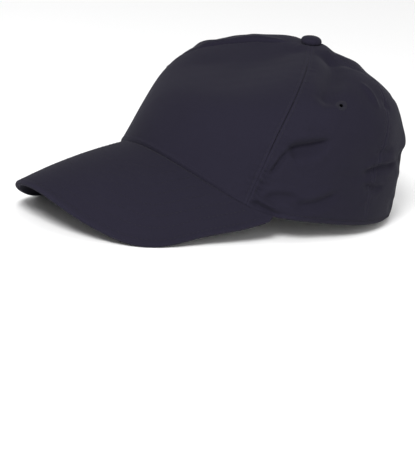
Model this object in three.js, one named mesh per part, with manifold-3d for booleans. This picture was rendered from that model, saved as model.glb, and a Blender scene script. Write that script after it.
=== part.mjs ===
// Five-panel baseball cap with a curved brim, sweatband, top button and a
// hook-and-loop strap across the rear arch.  Millimetres, +Z up, the brim
// points to -Y and the wearer's left side is +X.
import * as THREE from "three";
import { mergeVertices } from "three/addons/utils/BufferGeometryUtils.js";
import Module from "manifold-3d";

const wasm = await Module();
wasm.setup();

// ---------------------------------------------------------------- dimensions
// Rim (lower edge of the crown, seen from above): a slightly egg-shaped oval.
const RIM_A = 101.499; // half length, front to back
const RIM_B = 81.704; // half width
const RIM_EGG = 0.019; // share by which the rear is wider than the front
const RIM_N = 2.008; // superellipse exponent
// Crown: one cubic curve from the rim up to the apex at every azimuth.
const CROWN_H = 102.122; // apex above the rim plane
const APEX_Y = 18.828; // apex behind the rim's centre
const WALL_LEAN = [98.604, 9.05, 1.996]; // wall angle at the rim, degrees
const WALL_REACH = [49.896, 17.187, -8.832]; // lower handle length
const TOP_REACH = [104.129, 18.008, -11.577]; // upper handle length
const TOP_FALL = [10.274, 9.267, 6.395]; // slope at the apex, degrees
// Seams, azimuth in degrees from the front: a + b t + c t^2 (t: rim 0, apex 1)
const FRONT_SEAM = [52.354, 16.256, -4.333];
const REAR_SEAM = [108, -18, 30];
// Brim: a flat cut of board rolled to a cone.
const BRIM_CORNER = 65.84; // azimuth where the brim meets the rim, degrees
const BRIM_DEPTH = 85.84; // joint to tip along the centre line
const BRIM_EDGE = [82.431, 84.469, 83.524, 84.843]; // radii at 0, 25, 50, 70 degrees
const BRIM_SLOPE = 15.656; // fall of the centre line, degrees
const BRIM_WRAP = 69.86; // side angle of the brim at its corner, degrees
const BRIM_CONE = [-0.353, -6.12]; // change of bend radius towards the tip
const BRIM_DROOP = 5.062; // extra fall 70 mm out
// Layers: depth below the crown's outer surface.
const PANEL = [0, 0.8];
const BUCKRAM = [1.1, 1.7];
const TAPE = [1.1, 1.7];
const FRONT_TAPE = [2.0, 2.6];
const STRAP = [2.0, 2.9];
const SWEATBAND = [3.2, 4.2];
const HOOK_PAD = [3.2, 4.2];
const LOOP_PAD = [4.5, 5.5];
const TAB = [5.8, 6.7];
const LABEL = [4.5, 4.8];
const SEAM_GAP = 0.18; // half the gap between neighbouring panels
const CLEAR = 0.3; // gap between pieces that touch
// Brim sandwich: depth below the brim's upper surface.
const COVER = 0.6;
const BOARD = [0.9, 2.7];
const BRIM_T = 3.6;
const TUCK = 1.0; // the brim reaches this far under the crown's edge
// Rear closure.
const ARCH_W = 38; // half width of the rear opening along the rim
const ARCH_H = 44; // its height
const BIND_W = 7; // width of the binding's legs
const STRAP_Z = [2.2, 22.2]; // strap edges above the rim
const STRAP_HINGE_S = -32.0; // bend line of the strap, along the rim from the rear centre
const STRAP_FREE_S = 24;
const TAB_HINGE_S = 36.0;
const TAB_FREE_S = -16;
const SWEAT_H = 31; // sweatband width
// Top button.
const BUTTON_R = 7;
const BUTTON_RISE = 5.2;
const BUTTON_TILT = 9.3; // degrees towards the front
// Standing on a table: brim edges and rear rim touch it.
const STAND_TILT = 7.8194; // degrees, nose up
const STAND_Y = 41.9142;
const STAND_Z = 12.4389;

// ------------------------------------------------------------------- colours
const NAVY = 0x2f2d3a;
const paint = {
  twill: { color: NAVY, roughness: 0.95, metalness: 0 },
  thread: { color: 0x33313f, roughness: 0.85, metalness: 0 },
  tape: { color: 0x2a2834, roughness: 0.92, metalness: 0 },
  band: { color: 0x2c2a36, roughness: 0.95, metalness: 0 },
  buckram: { color: 0xd6d3cb, roughness: 0.9, metalness: 0 },
  board: { color: 0xe4e4e0, roughness: 0.55, metalness: 0 },
  hook: { color: 0x25232c, roughness: 0.7, metalness: 0 },
  loop: { color: 0x2b2933, roughness: 1, metalness: 0 },
  metal: { color: 0xa8a9ab, roughness: 0.4, metalness: 0.9 },
  label: { color: 0xe9e8e4, roughness: 0.8, metalness: 0 },
};

// -------------------------------------------------------------------- shape
const rad = THREE.MathUtils.degToRad;
const spow = (v, e) => Math.sign(v) * Math.abs(v) ** e;
const wave = (k, phi) => k[0] + k[1] * Math.cos(phi) + k[2] * Math.cos(2 * phi);
const quad = (k, t) => rad(k[0] + k[1] * t + k[2] * t * t);

// Point of the rim in plan, azimuth 0 at the front, positive to the left side.
function rim(phi) {
  const s = Math.sin(phi), c = Math.cos(phi), e = 2 / RIM_N;
  return [RIM_B * spow(s, e) * (1 - RIM_EGG * c), -RIM_A * spow(c, e)];
}

const PHC = rad(BRIM_CORNER);
const SLOPE = rad(BRIM_SLOPE);
const R0 = rim(PHC)[0] / Math.sin(rad(BRIM_WRAP));
const bendR = (q) => R0 + BRIM_CONE[0] * q + BRIM_CONE[1] * (q / 70) ** 2;

// Plan position to flat brim coordinates: p across, q forward from the joint.
function flatOf(x, y) {
  let q = 0;
  for (let k = 0; k < 6; k++) {
    const R = bendR(q);
    const dr = R - Math.sqrt(Math.max(R * R - x * x, (0.1 * R) ** 2));
    q = (-RIM_A + dr * Math.sin(SLOPE) - y) / Math.cos(SLOPE);
  }
  const R = bendR(q);
  return [R * Math.asin(THREE.MathUtils.clamp(x / R, -0.995, 0.995)), q];
}
let brimLift = 0;
function brimPoint(p, q) {
  const R = bendR(q), dr = R * (1 - Math.cos(p / R));
  return new THREE.Vector3(
    R * Math.sin(p / R),
    -RIM_A - q * Math.cos(SLOPE) + dr * Math.sin(SLOPE),
    brimLift - q * Math.sin(SLOPE) - dr * Math.cos(SLOPE) - BRIM_DROOP * (Math.max(q, 0) / 70) ** 2,
  );
}
const CORNER = flatOf(...rim(PHC));
brimLift = -brimPoint(...CORNER).z;
function brimNormal(p, q) {
  const h = 0.05;
  const a = brimPoint(p + h, q).sub(brimPoint(p - h, q));
  const b = brimPoint(p, q - h).sub(brimPoint(p, q + h));
  return a.cross(b).normalize();
}
const brimDeep = (p, q, d) => brimPoint(p, q).addScaledVector(brimNormal(p, q), -d);

function rimZ(phi) {
  return Math.abs(phi) < PHC ? brimPoint(...flatOf(...rim(phi))).z : 0;
}

// Outer surface of the crown.
function crown(phi, t) {
  const [x, y] = rim(phi), z0 = rimZ(phi);
  const dx = x, dy = y - APEX_Y, R = Math.hypot(dx, dy);
  const al = rad(wave(WALL_LEAN, phi)), be = rad(wave(TOP_FALL, phi));
  const L1 = wave(WALL_REACH, phi), L2 = wave(TOP_REACH, phi);
  const u = 1 - t;
  const s = u ** 3 * R + 3 * u * u * t * (R + L1 * Math.cos(al)) + 3 * u * t * t * L2 * Math.cos(be);
  const z = u ** 3 * z0 + 3 * u * u * t * (z0 + L1 * Math.sin(al))
    + 3 * u * t * t * (CROWN_H - L2 * Math.sin(be)) + t ** 3 * CROWN_H;
  return new THREE.Vector3((dx / R) * s, APEX_Y + (dy / R) * s, z);
}
function crownNormal(phi, t) {
  const h = 1e-3, tc = Math.min(t, 0.992);
  const a = crown(phi + h, tc).sub(crown(phi - h, tc));
  const b = crown(phi, tc + h).sub(crown(phi, tc - h));
  return a.cross(b).normalize();
}
const crownDeep = (phi, t, d) => crown(phi, t).addScaledVector(crownNormal(phi, t), -d);

// t at a height h along the meridian from the rim.
function tAt(phi, h) {
  if (h <= 0) return h / crown(phi, 0.01).distanceTo(crown(phi, 0)) * 0.01;
  let last = crown(phi, 0), sum = 0;
  const N = 120;
  for (let i = 1; i <= N; i++) {
    const p = crown(phi, i / N), d = p.distanceTo(last);
    if (sum + d >= h) return (i - 1 + (h - sum) / d) / N;
    sum += d;
    last = p;
  }
  return 1;
}
// Azimuth at arc length s along the rim from the rear centre (+ to the left).
const RIM_TABLE = [];
for (let i = 0; i <= 400; i++) {
  const phi = Math.PI * (1 - i / 400), [x, y] = rim(phi);
  const prev = RIM_TABLE[i - 1];
  RIM_TABLE.push({ phi, x, y, s: prev ? prev.s + Math.hypot(x - prev.x, y - prev.y) : 0 });
}
function phiAt(s) {
  const a = Math.abs(s);
  let i = RIM_TABLE.findIndex((r) => r.s >= a);
  if (i < 1) i = 1;
  const p = RIM_TABLE[i - 1], n = RIM_TABLE[i];
  const phi = p.phi + ((a - p.s) / (n.s - p.s)) * (n.phi - p.phi);
  return s >= 0 ? phi : 2 * Math.PI - phi;
}
const wall = (s, h, d) => {
  const phi = phiAt(s);
  return crownDeep(phi, tAt(phi, h), d);
};

// -------------------------------------------------------------- solid makers
// A closed solid between two point grids, outer[i][j] and inner[i][j].
function shell(outer, inner, closed = false) {
  const nu = outer.length, nv = outer[0].length, pos = [];
  for (const g of [outer, inner]) for (const row of g) for (const p of row) pos.push(p.x, p.y, p.z);
  const id = (k, i, j) => k * nu * nv + (i % nu) * nv + j, tri = [];
  const face = (a, b, c, d) => tri.push(a, b, c, a, c, d);
  const mu = closed ? nu : nu - 1;
  for (let i = 0; i < mu; i++) {
    for (let j = 0; j < nv - 1; j++) {
      face(id(0, i, j), id(0, i + 1, j), id(0, i + 1, j + 1), id(0, i, j + 1));
      face(id(1, i, j), id(1, i, j + 1), id(1, i + 1, j + 1), id(1, i + 1, j));
    }
    face(id(0, i + 1, 0), id(0, i, 0), id(1, i, 0), id(1, i + 1, 0));
    face(id(0, i, nv - 1), id(0, i + 1, nv - 1), id(1, i + 1, nv - 1), id(1, i, nv - 1));
  }
  if (!closed) {
    for (let j = 0; j < nv - 1; j++) {
      face(id(0, 0, j), id(0, 0, j + 1), id(1, 0, j + 1), id(1, 0, j));
      face(id(0, nu - 1, j + 1), id(0, nu - 1, j), id(1, nu - 1, j), id(1, nu - 1, j + 1));
    }
  }
  return facingOut(pos, tri);
}
// A closed solid swept from sections, each a ring of points in order.
function sweep(rings) {
  const n = rings[0].length, pos = [], tri = [];
  for (const r of rings) for (const p of r) pos.push(p.x, p.y, p.z);
  for (let i = 0; i < rings.length - 1; i++)
    for (let j = 0; j < n; j++) {
      const a = i * n + j, b = i * n + ((j + 1) % n);
      tri.push(a, b, b + n, a, b + n, a + n);
    }
  const flat = rings[0].flat2 || rings[0].cap;
  const caps = THREE.ShapeUtils.triangulateShape(flat, []);
  const last = (rings.length - 1) * n;
  for (const [a, b, c] of caps) {
    tri.push(a, c, b);
    tri.push(last + a, last + b, last + c);
  }
  return facingOut(pos, tri);
}
function facingOut(pos, tri) {
  let v = 0;
  const P = (i) => new THREE.Vector3(pos[3 * i], pos[3 * i + 1], pos[3 * i + 2]);
  for (let k = 0; k < tri.length; k += 3) v += P(tri[k]).dot(P(tri[k + 1]).cross(P(tri[k + 2])));
  if (v < 0) for (let k = 0; k < tri.length; k += 3) [tri[k + 1], tri[k + 2]] = [tri[k + 2], tri[k + 1]];
  const g = new THREE.BufferGeometry();
  g.setAttribute("position", new THREE.Float32BufferAttribute(pos, 3));
  g.setIndex(tri);
  return g;
}
function toSolid(geometry) {
  const g = (geometry.index ? geometry.toNonIndexed() : geometry.clone());
  g.deleteAttribute("normal");
  g.deleteAttribute("uv");
  const m = mergeVertices(g, 1e-4);
  return new wasm.Manifold(new wasm.Mesh({
    numProp: 3,
    vertProperties: new Float32Array(m.attributes.position.array),
    triVerts: new Uint32Array(m.index.array),
  }));
}
function fromSolid(solid) {
  const parts = solid.decompose().sort((a, b) => b.volume() - a.volume());
  const m = parts[0].getMesh();
  const g = new THREE.BufferGeometry();
  g.setAttribute("position", new THREE.Float32BufferAttribute(m.vertProperties, 3));
  g.setIndex(Array.from(m.triVerts));
  return g;
}
const cut = (geometry, ...tools) => fromSolid(tools.reduce((s, t) => s.subtract(toSolid(t)), toSolid(geometry)));
const steps = (a, b, n) => Array.from({ length: n + 1 }, (_, i) => a + ((b - a) * i) / n);

const cap = new THREE.Group();
const body = new THREE.Group();
cap.add(body);
function add(name, geometry, look) {
  const g = geometry.clone();
  g.computeVertexNormals();
  const mesh = new THREE.Mesh(g, new THREE.MeshStandardMaterial(paint[look]));
  mesh.name = name;
  body.add(mesh);
  return mesh;
}

// -------------------------------------------------------------------- brim
// Edge of the flat brim: a smooth curve of radius over angle about the joint's middle.
const EDGE_ANGLES = [Math.atan2(CORNER[1], CORNER[0]), 0, rad(25), rad(50), rad(70), Math.PI / 2];
const EDGE_RADII = [Math.hypot(...CORNER), ...BRIM_EDGE, BRIM_DEPTH];
const EDGE_SPLINE = cubicSpline(EDGE_ANGLES, EDGE_RADII);
// Cubic spline, free at its first knot and level at its last.
function cubicSpline(x, y) {
  const n = x.length, a = Array.from({ length: n }, () => new Array(n + 1).fill(0));
  a[0][0] = 1;
  for (let i = 1; i < n - 1; i++) {
    const h0 = x[i] - x[i - 1], h1 = x[i + 1] - x[i];
    a[i][i - 1] = h0;
    a[i][i] = 2 * (h0 + h1);
    a[i][i + 1] = h1;
    a[i][n] = 6 * ((y[i + 1] - y[i]) / h1 - (y[i] - y[i - 1]) / h0);
  }
  const h = x[n - 1] - x[n - 2];
  a[n - 1][n - 2] = h;
  a[n - 1][n - 1] = 2 * h;
  a[n - 1][n] = 6 * (0 - (y[n - 1] - y[n - 2]) / h);
  for (let i = 0; i < n; i++) {
    for (let k = i + 1; k < n; k++) {
      const f = a[k][i] / a[i][i];
      for (let j = i; j <= n; j++) a[k][j] -= f * a[i][j];
    }
  }
  const m = new Array(n).fill(0);
  for (let i = n - 1; i >= 0; i--) {
    let s = a[i][n];
    for (let j = i + 1; j < n; j++) s -= a[i][j] * m[j];
    m[i] = s / a[i][i];
  }
  return (v) => {
    let i = 0;
    while (i < n - 2 && v > x[i + 1]) i++;
    const hh = x[i + 1] - x[i], A = (x[i + 1] - v) / hh, B = (v - x[i]) / hh;
    return A * y[i] + B * y[i + 1] + (((A ** 3 - A) * m[i] + (B ** 3 - B) * m[i + 1]) * hh * hh) / 6;
  };
}
function brimEdge(u) {
  const w = Math.abs(u), a = Math.PI / 2 + (EDGE_ANGLES[0] - Math.PI / 2) * w, r = EDGE_SPLINE(a);
  return new THREE.Vector2(Math.sign(u || 1) * r * Math.cos(a), r * Math.sin(a));
}
function brimJoint(u) {
  const [p, q] = flatOf(...rim(PHC * u));
  return new THREE.Vector2(p, q);
}
// Inward normal of the joint line in the flat.
function jointInward(u) {
  const h = 0.004, d = brimJoint(u + h).sub(brimJoint(u - h));
  return new THREE.Vector2(d.y, -d.x).normalize().multiplyScalar(d.x > 0 ? 1 : -1);
}
const END_U = 0.972; // the covers stop this far towards the corner
// Flat points across the brim at station u: from the tuck to the edge.
// rows: distances from the edge for the last rows.
function brimRow(u, [tuck, extra], fractions, rows) {
  const J = brimJoint(u), E = brimEdge(u), dir = E.clone().sub(J), len = dir.length();
  dir.normalize();
  const nIn = jointInward(u);
  const shrink = Math.min(1, len / 14);
  const out = [];
  const k = tuck * (0.25 + 0.75 * THREE.MathUtils.clamp((0.8 - Math.abs(u)) * 4, 0, 1)) + extra;
  out.push(J.clone().addScaledVector(nIn, k));
  const inner = len - rows[0] * shrink;
  for (const f of fractions) out.push(J.clone().addScaledVector(dir, inner * f));
  for (const d of rows) out.push(J.clone().addScaledVector(dir, len - d * shrink));
  return out;
}
function brimLayer(stations, tuck, rows, top, bottom) {
  const fr = [0, 0.3, 0.63];
  const outer = [], inner = [];
  for (const u of stations) {
    const pts = brimRow(u, tuck, fr, rows), k = pts.length - rows.length;
    // the sandwich thins out towards the corner, past the board
    const thin = 1 - 0.45 * THREE.MathUtils.smoothstep(Math.abs(u), 0.86, END_U);
    const deep = (d) => (d < 0 ? d : d > BRIM_T ? BRIM_T * thin + d - BRIM_T : d * thin);
    // the edge folds in less where the brim is short
    const fold = Math.min(1, brimEdge(u).distanceTo(brimJoint(u)) / 12);
    const at = (d, i) => deep(i < k ? d[0] : d[0] + (d[i - k] - d[0]) * fold);
    outer.push(pts.map((f, i) => brimDeep(f.x, f.y, at(top, i))));
    inner.push(pts.map((f, i) => brimDeep(f.x, f.y, at(bottom, i))));
  }
  return shell(outer, inner);
}
// Stations across the brim, closer together towards its corners.
const STATIONS = steps(-1, 1, 34).map((s) => END_U * Math.sign(s) * Math.abs(s) ** 0.85);
const BOARD_STATIONS = STATIONS.filter((u) => Math.abs(u) < 0.925);
const SPACE_STATIONS = [-END_U - 0.012, ...STATIONS.slice(1, -1), END_U + 0.012];
const EDGE_ROWS = [2.9, 2.3, 0.8, 0];
const topCover = brimLayer(STATIONS, [TUCK, 0], EDGE_ROWS, [0, 0.02, 0.4, 1.2], [COVER, 1.55, 1.62, 1.65]);
const underCover = brimLayer(STATIONS, [TUCK, 0], EDGE_ROWS,
  [BRIM_T - COVER, 2.05, 1.98, 1.95], [BRIM_T, BRIM_T - 0.02, BRIM_T - 0.4, BRIM_T - 1.2]);
const board = brimLayer(BOARD_STATIONS, [TUCK, -0.1], [4.2, 3.7], [BOARD[0], BOARD[0] + 0.1], [BOARD[1], BOARD[1] - 0.1]);
// Space the brim needs between the crown's layers.
const brimSpace = brimLayer(SPACE_STATIONS, [TUCK, CLEAR], [2, 0], [-CLEAR, -CLEAR], [BRIM_T + CLEAR, BRIM_T + CLEAR]);
add("brim_top_cover", topCover, "twill");
add("brim_board", board, "board");
add("brim_under_cover", underCover, "twill");

// ------------------------------------------------------------------- panels
const T_TOP = 0.986; // the panels stop here, round the button's pin
const ROWS = 14; // rows of facets from rim to top, shared by every layer so that the layers nest
const T_ROWS = Array.from({ length: ROWS + 1 }, (_, i) => T_TOP * (i / ROWS) ** 0.92);
const rowsBetween = (t0, t1) => [t0, ...T_ROWS.filter((t) => t > t0 + 0.012 && t < t1 - 0.012), t1];
const frontSeam = (t) => quad(FRONT_SEAM, t);
const rearSeam = (t) => quad(REAR_SEAM, t);
const SEAM_PULL = (phi, t, gap) => {
  const d = crown(phi + 5e-4, t).distanceTo(crown(phi - 5e-4, t)) / 1e-3;
  return gap / Math.max(d, 0.5);
};
// Layer of the crown between two seam lines, from height h0 to t1.
function layer(phiA, phiB, nu, depth, { gap = SEAM_GAP, t0 = 0, t1 = T_TOP, level = false } = {}) {
  const outer = [], inner = [], rows = rowsBetween(t0, t1);
  for (const w of steps(0, 1, nu)) {
    const ro = [], ri = [];
    rows.forEach((t, j) => {
      const a = phiA(t), b = phiB(t);
      const phi = a + SEAM_PULL(a, t, gap) + (b - a - SEAM_PULL(a, t, gap) - SEAM_PULL(b, t, gap)) * w;
      let o = crownDeep(phi, t, depth[0]), i = crownDeep(phi, t, depth[1]);
      if (j === 0 && level) {
        // a flat lower edge, in the plane of the outer edge
        const n = crownNormal(phi, t).setZ(0), base = crown(phi, t);
        const k = 1 / n.length();
        n.normalize();
        o = base.clone().addScaledVector(n, -depth[0] * k);
        i = base.clone().addScaledVector(n, -depth[1] * k);
      }
      ro.push(o);
      ri.push(i);
    });
    outer.push(ro);
    inner.push(ri);
  }
  return shell(outer, inner);
}

// Rear arch: points of its outline along the rim and up the crown.
const archPoint = (a) => [ARCH_W * spow(Math.cos(a), 0.82), ARCH_H * Math.abs(Math.sin(a)) ** 0.9];
const archShape = new THREE.Shape();
steps(0, Math.PI, 24).forEach((a, k) => {
  const [s, h] = archPoint(a), p = wall(s, h, 0);
  // the shape lies in x,z; it is pushed through the wall along y
  if (k === 0) archShape.moveTo(p.x, -4);
  archShape.lineTo(p.x, p.z);
  if (k === 24) archShape.lineTo(p.x, -4);
});
archShape.closePath();
const archTool = new THREE.ExtrudeGeometry(archShape, { depth: 60, bevelEnabled: false, curveSegments: 1 });
archTool.rotateX(Math.PI / 2); // x,z,-y
archTool.translate(0, 130, 0);

// Eyelet holes.
const EYELETS = {
  left_side_eyelet: [rad(82), 0.585],
  right_side_eyelet: [rad(-82), 0.585],
  left_rear_eyelet: [rad(147), 0.6],
  right_rear_eyelet: [rad(-147), 0.6],
};
function along(geometry, phi, t) {
  // the geometry's +Y becomes the crown's outward normal at that point
  const n = crownNormal(phi, t), q = new THREE.Quaternion().setFromUnitVectors(new THREE.Vector3(0, 1, 0), n);
  const p = crown(phi, t);
  return geometry.applyQuaternion(q).translate(p.x, p.y, p.z);
}
const hole = (k) => along(new THREE.CylinderGeometry(2.6, 2.6, 8, 12), ...EYELETS[k]);

const frontPanel = layer((t) => -frontSeam(t), frontSeam, 20, PANEL, { level: true });
const leftSide = layer(frontSeam, rearSeam, 11, PANEL, { level: true });
const rightSide = layer((t) => -rearSeam(t), (t) => -frontSeam(t), 11, PANEL, { level: true });
const leftRear = layer(rearSeam, () => Math.PI, 11, PANEL, { level: true });
const rightRear = layer(() => -Math.PI, (t) => -rearSeam(t), 11, PANEL, { level: true });
add("front_panel", cut(frontPanel, brimSpace), "twill");
add("left_side_panel", cut(leftSide, brimSpace, hole("left_side_eyelet")), "twill");
add("right_side_panel", cut(rightSide, brimSpace, hole("right_side_eyelet")), "twill");
add("left_rear_panel", cut(leftRear, archTool, hole("left_rear_eyelet")), "twill");
add("right_rear_panel", cut(rightRear, archTool, hole("right_rear_eyelet")), "twill");

// Stiffening behind the front panel.
add("front_panel_buckram", cut(layer((t) => -frontSeam(t), frontSeam, 20, BUCKRAM, { gap: 0.8, t0: 0.008, t1: 0.93 }), brimSpace), "buckram");

// ------------------------------------------------------------- seam tapes
// A tape of half width w that follows a seam on the inside.
function tape(line, t0, t1, depth, w = 6.5) {
  const outer = [], inner = [];
  const cols = [-1, 0, 1].map((k) => [[], []]);
  for (const t of rowsBetween(t0, t1)) {
    [-1, 0, 1].forEach((k, c) => {
      const phi = line(t), s = Math.hypot(crown(phi, t).x, crown(phi, t).y - APEX_Y);
      const half = Math.min(w, s * 0.55), ph = phi + SEAM_PULL(phi, t, half) * k;
      cols[c][0].push(crownDeep(ph, t, depth[0]));
      cols[c][1].push(crownDeep(ph, t, depth[1]));
    });
  }
  for (const c of cols) {
    outer.push(c[0]);
    inner.push(c[1]);
  }
  return shell(outer, inner);
}
const TAPE_TOP = 0.945;
add("front_left_seam_tape", cut(tape(frontSeam, tAt(frontSeam(0), 3), TAPE_TOP, FRONT_TAPE), brimSpace), "tape");
add("front_right_seam_tape", cut(tape((t) => -frontSeam(t), tAt(frontSeam(0), 3), TAPE_TOP, FRONT_TAPE), brimSpace), "tape");
add("side_left_seam_tape", tape(rearSeam, tAt(rearSeam(0), 2), TAPE_TOP, TAPE), "tape");
add("side_right_seam_tape", tape((t) => -rearSeam(t), tAt(rearSeam(0), 2), TAPE_TOP, TAPE), "tape");
add("rear_centre_seam_tape", tape(() => Math.PI, tAt(Math.PI, ARCH_H + BIND_W + 1), TAPE_TOP, TAPE), "tape");

// ------------------------------------------------------------- rear binding
const BIND_SECTION = [[BIND_W, 0.3], [BIND_W, 0.9], [-0.9, 0.9], [-0.9, -1.7], [BIND_W, -1.7], [BIND_W, -1.1], [-0.3, -1.1], [-0.3, 0.3]];
const bindRings = steps(0.012, Math.PI - 0.012, 22).map((a) => {
  const e = 0.01, [s, h] = archPoint(a), [s1, h1] = archPoint(a + e), [s0, h0] = archPoint(a - e);
  let ms = h1 - h0, mh = -(s1 - s0);
  const L = Math.hypot(ms, mh);
  ms /= L;
  mh /= L;
  // outline runs from the left foot over the top to the right foot; m points away from the opening
  const k = a < 0.2 || a > Math.PI - 0.2 ? 0 : 1;
  if (!k) { ms = Math.sign(Math.cos(a)); mh = 0; }
  const ring = BIND_SECTION.map(([m, n]) => wall(s + ms * m, Math.max(h + mh * m, 0.5), -n));
  ring.cap = BIND_SECTION.map(([m, n]) => new THREE.Vector2(m, n));
  return ring;
});
add("rear_arch_binding", sweep(bindRings), "tape");

// --------------------------------------------------------------- sweatband
const SWEAT_END = ARCH_W + 1.6;
{
  const outer = [], inner = [];
  const a = phiAt(SWEAT_END);
  for (const phi of steps(-a, a, 52)) {
    const lo = tAt(phi, 0.6), hi = tAt(phi, SWEAT_H);
    const ro = [], ri = [];
    for (const v of steps(0, 1, 2)) {
      const t = lo + (hi - lo) * v;
      ro.push(crownDeep(phi, t, SWEATBAND[0]));
      ri.push(crownDeep(phi, t, SWEATBAND[1]));
    }
    outer.push(ro);
    inner.push(ri);
  }
  add("sweatband", shell(outer, inner), "band");
}

// ----------------------------------------------------------- rear closure
// A strip along the rim from s0 to s1; round: corner radius at either end.
function strip(s0, s1, n, z, depthAt, r0 = 0, r1 = 0) {
  const outer = [], inner = [], S = steps(s0, s1, n);
  for (const [r, end, dir] of [[r0, s0, 1], [r1, s1, -1]]) if (r) for (const k of [0.06, 0.3]) S.push(end + dir * r * k);
  S.sort((x, y) => x - y);
  for (const s of S) {
    let inset = 0;
    for (const [r, end] of [[r0, s0], [r1, s1]]) {
      const d = Math.abs(s - end);
      if (r && d < r) inset = Math.max(inset, r - Math.sqrt(Math.max(r * r - (r - d) ** 2, 0)));
    }
    const [d0, d1] = depthAt(s), lo = z[0] + inset, hi = z[1] - inset;
    outer.push(steps(lo, hi, 2).map((h) => wall(s, h, d0)));
    inner.push(steps(lo, hi, 2).map((h) => wall(s, h, d1)));
  }
  return shell(outer, inner);
}
const padZ = [STRAP_Z[0] + 1.6, STRAP_Z[1] - 1.6];
const tabDepth = (s) => {
  const k = THREE.MathUtils.smoothstep(s, 25.2, 35.5), d = TAB[0] + (STRAP[0] - TAB[0]) * k;
  return [d, d + TAB[1] - TAB[0]];
};
add("closure_strap_sewn_end", strip(-51, STRAP_HINGE_S - 0.6, 4, STRAP_Z, () => STRAP), "tape");
add("closure_strap", strip(STRAP_HINGE_S + 0.6, STRAP_FREE_S, 14, STRAP_Z, () => STRAP, 0, 5), "tape");
add("closure_hook_pad", strip(-12, STRAP_FREE_S - 2, 8, padZ, () => HOOK_PAD, 0, 3.5), "hook");
add("closure_tab_sewn_end", strip(TAB_HINGE_S + 0.6, 51, 4, STRAP_Z, () => STRAP), "tape");
add("closure_tab", strip(TAB_FREE_S, TAB_HINGE_S - 0.6, 18, STRAP_Z, tabDepth, 5, 0), "tape");
add("closure_loop_pad", strip(TAB_FREE_S + 2, 23, 8, padZ, () => LOOP_PAD, 3.5, 0), "loop");

// ----------------------------------------------------------------- eyelets
const EYELET_SECTION = [[1.5, -2.0], [4.0, -2.0], [4.0, -1.45], [2.2, -1.3], [2.2, 0.35], [4.0, 0.3], [3.9, 0.8], [3.0, 1.05], [1.5, 0.75]];
for (const k of Object.keys(EYELETS)) {
  const pts = EYELET_SECTION.map(([r, y]) => new THREE.Vector2(r, y));
  pts.push(pts[0].clone());
  add(k, along(new THREE.LatheGeometry(pts, 12), ...EYELETS[k]), "thread");
}

// ------------------------------------------------------------------ button
function lathe(points, n = 18) {
  return new THREE.LatheGeometry(points.map(([r, y]) => new THREE.Vector2(r, y)), n);
}
const dome = (r, h, base, n = 4) => steps(0, Math.PI / 2, n).map((a) => [r * Math.cos(a), base + h * Math.sin(a)]);
function onTop(geometry) {
  // lathe axis up, tilted towards the front, on the apex
  return geometry.rotateX(Math.PI / 2).rotateX(rad(BUTTON_TILT)).translate(0, APEX_Y, CROWN_H);
}
const B0 = 0.15;
const domeOut = dome(BUTTON_R, BUTTON_RISE, B0), domeIn = dome(BUTTON_R - 0.7, BUTTON_RISE - 0.7, B0).reverse();
domeOut[domeOut.length - 1][0] = 0;
domeIn[0][0] = 0;
add("button_cover", onTop(lathe([...domeIn, ...domeOut])), "twill");
const shellOut = dome(BUTTON_R - 1, BUTTON_RISE - 1, B0 + 0.1), shellIn = dome(BUTTON_R - 1.5, BUTTON_RISE - 1.5, B0 + 0.1).reverse();
shellOut[shellOut.length - 1][0] = 0;
shellIn[0][0] = 0;
add("button_shell", onTop(lathe([...shellIn, ...shellOut])), "metal");
add("button_post", onTop(lathe([[0, -8.6], [2.6, -8.6], [2.6, -8.0], [1.5, -7.8], [1.5, 1.9], [3.4, 2.1], [3.4, 2.6], [0, 2.6]], 12)), "metal");
add("button_back_washer", onTop(lathe([[1.85, -7.4], [6.8, -6.6], [6.8, -6.0], [1.85, -6.8], [1.85, -7.4]], 16)), "metal");

// ------------------------------------------------------------- care label
add("care_label", strip(58, 80, 3, [SWEAT_H - 14, SWEAT_H + 9], () => LABEL), "label");

// --------------------------------------------------- stance on the table
body.rotation.x = -rad(STAND_TILT);
body.position.set(0, STAND_Y, STAND_Z);

export default cap;
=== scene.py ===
"""Looks of a baseball cap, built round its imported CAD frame.

Shapes are worked out in the rim frame (millimetres, the crown's lower edge in the plane z = 0, the brim towards -Y) and
carried into the row frame (metres, standing on a table) by row(). Every cloth layer is a depth below the crown's or the
brim's outer surface, and follows the same folds, so the layers stay nested.
"""
import math

import bpy
import numpy as np
from mathutils import Matrix, Vector


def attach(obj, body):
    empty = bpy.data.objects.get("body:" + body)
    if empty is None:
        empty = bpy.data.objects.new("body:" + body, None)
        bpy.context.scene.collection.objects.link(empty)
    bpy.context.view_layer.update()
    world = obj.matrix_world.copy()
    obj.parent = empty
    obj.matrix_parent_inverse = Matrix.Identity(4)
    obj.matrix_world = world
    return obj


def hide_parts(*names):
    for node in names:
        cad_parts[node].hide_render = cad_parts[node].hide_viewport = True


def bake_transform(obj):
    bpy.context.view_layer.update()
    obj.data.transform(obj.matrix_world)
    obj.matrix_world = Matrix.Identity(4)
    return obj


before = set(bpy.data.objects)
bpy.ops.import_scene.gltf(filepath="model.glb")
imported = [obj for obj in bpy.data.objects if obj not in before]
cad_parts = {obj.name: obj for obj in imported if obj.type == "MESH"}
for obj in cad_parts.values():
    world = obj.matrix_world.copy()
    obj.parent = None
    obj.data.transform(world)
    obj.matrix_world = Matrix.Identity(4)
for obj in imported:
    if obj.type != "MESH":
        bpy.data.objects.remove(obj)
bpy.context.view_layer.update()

# ------------------------------------------------------------------ dimensions
RIM_A, RIM_B, RIM_EGG, RIM_N = 101.499, 81.704, 0.019, 2.008
CROWN_H, APEX_Y = 102.122, 18.828
WALL_LEAN = (98.604, 9.05, 1.996)
WALL_REACH = (49.896, 17.187, -8.832)
TOP_REACH = (104.129, 18.008, -11.577)
TOP_FALL = (10.274, 9.267, 6.395)
FRONT_SEAM = (52.354, 16.256, -4.333)
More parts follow.
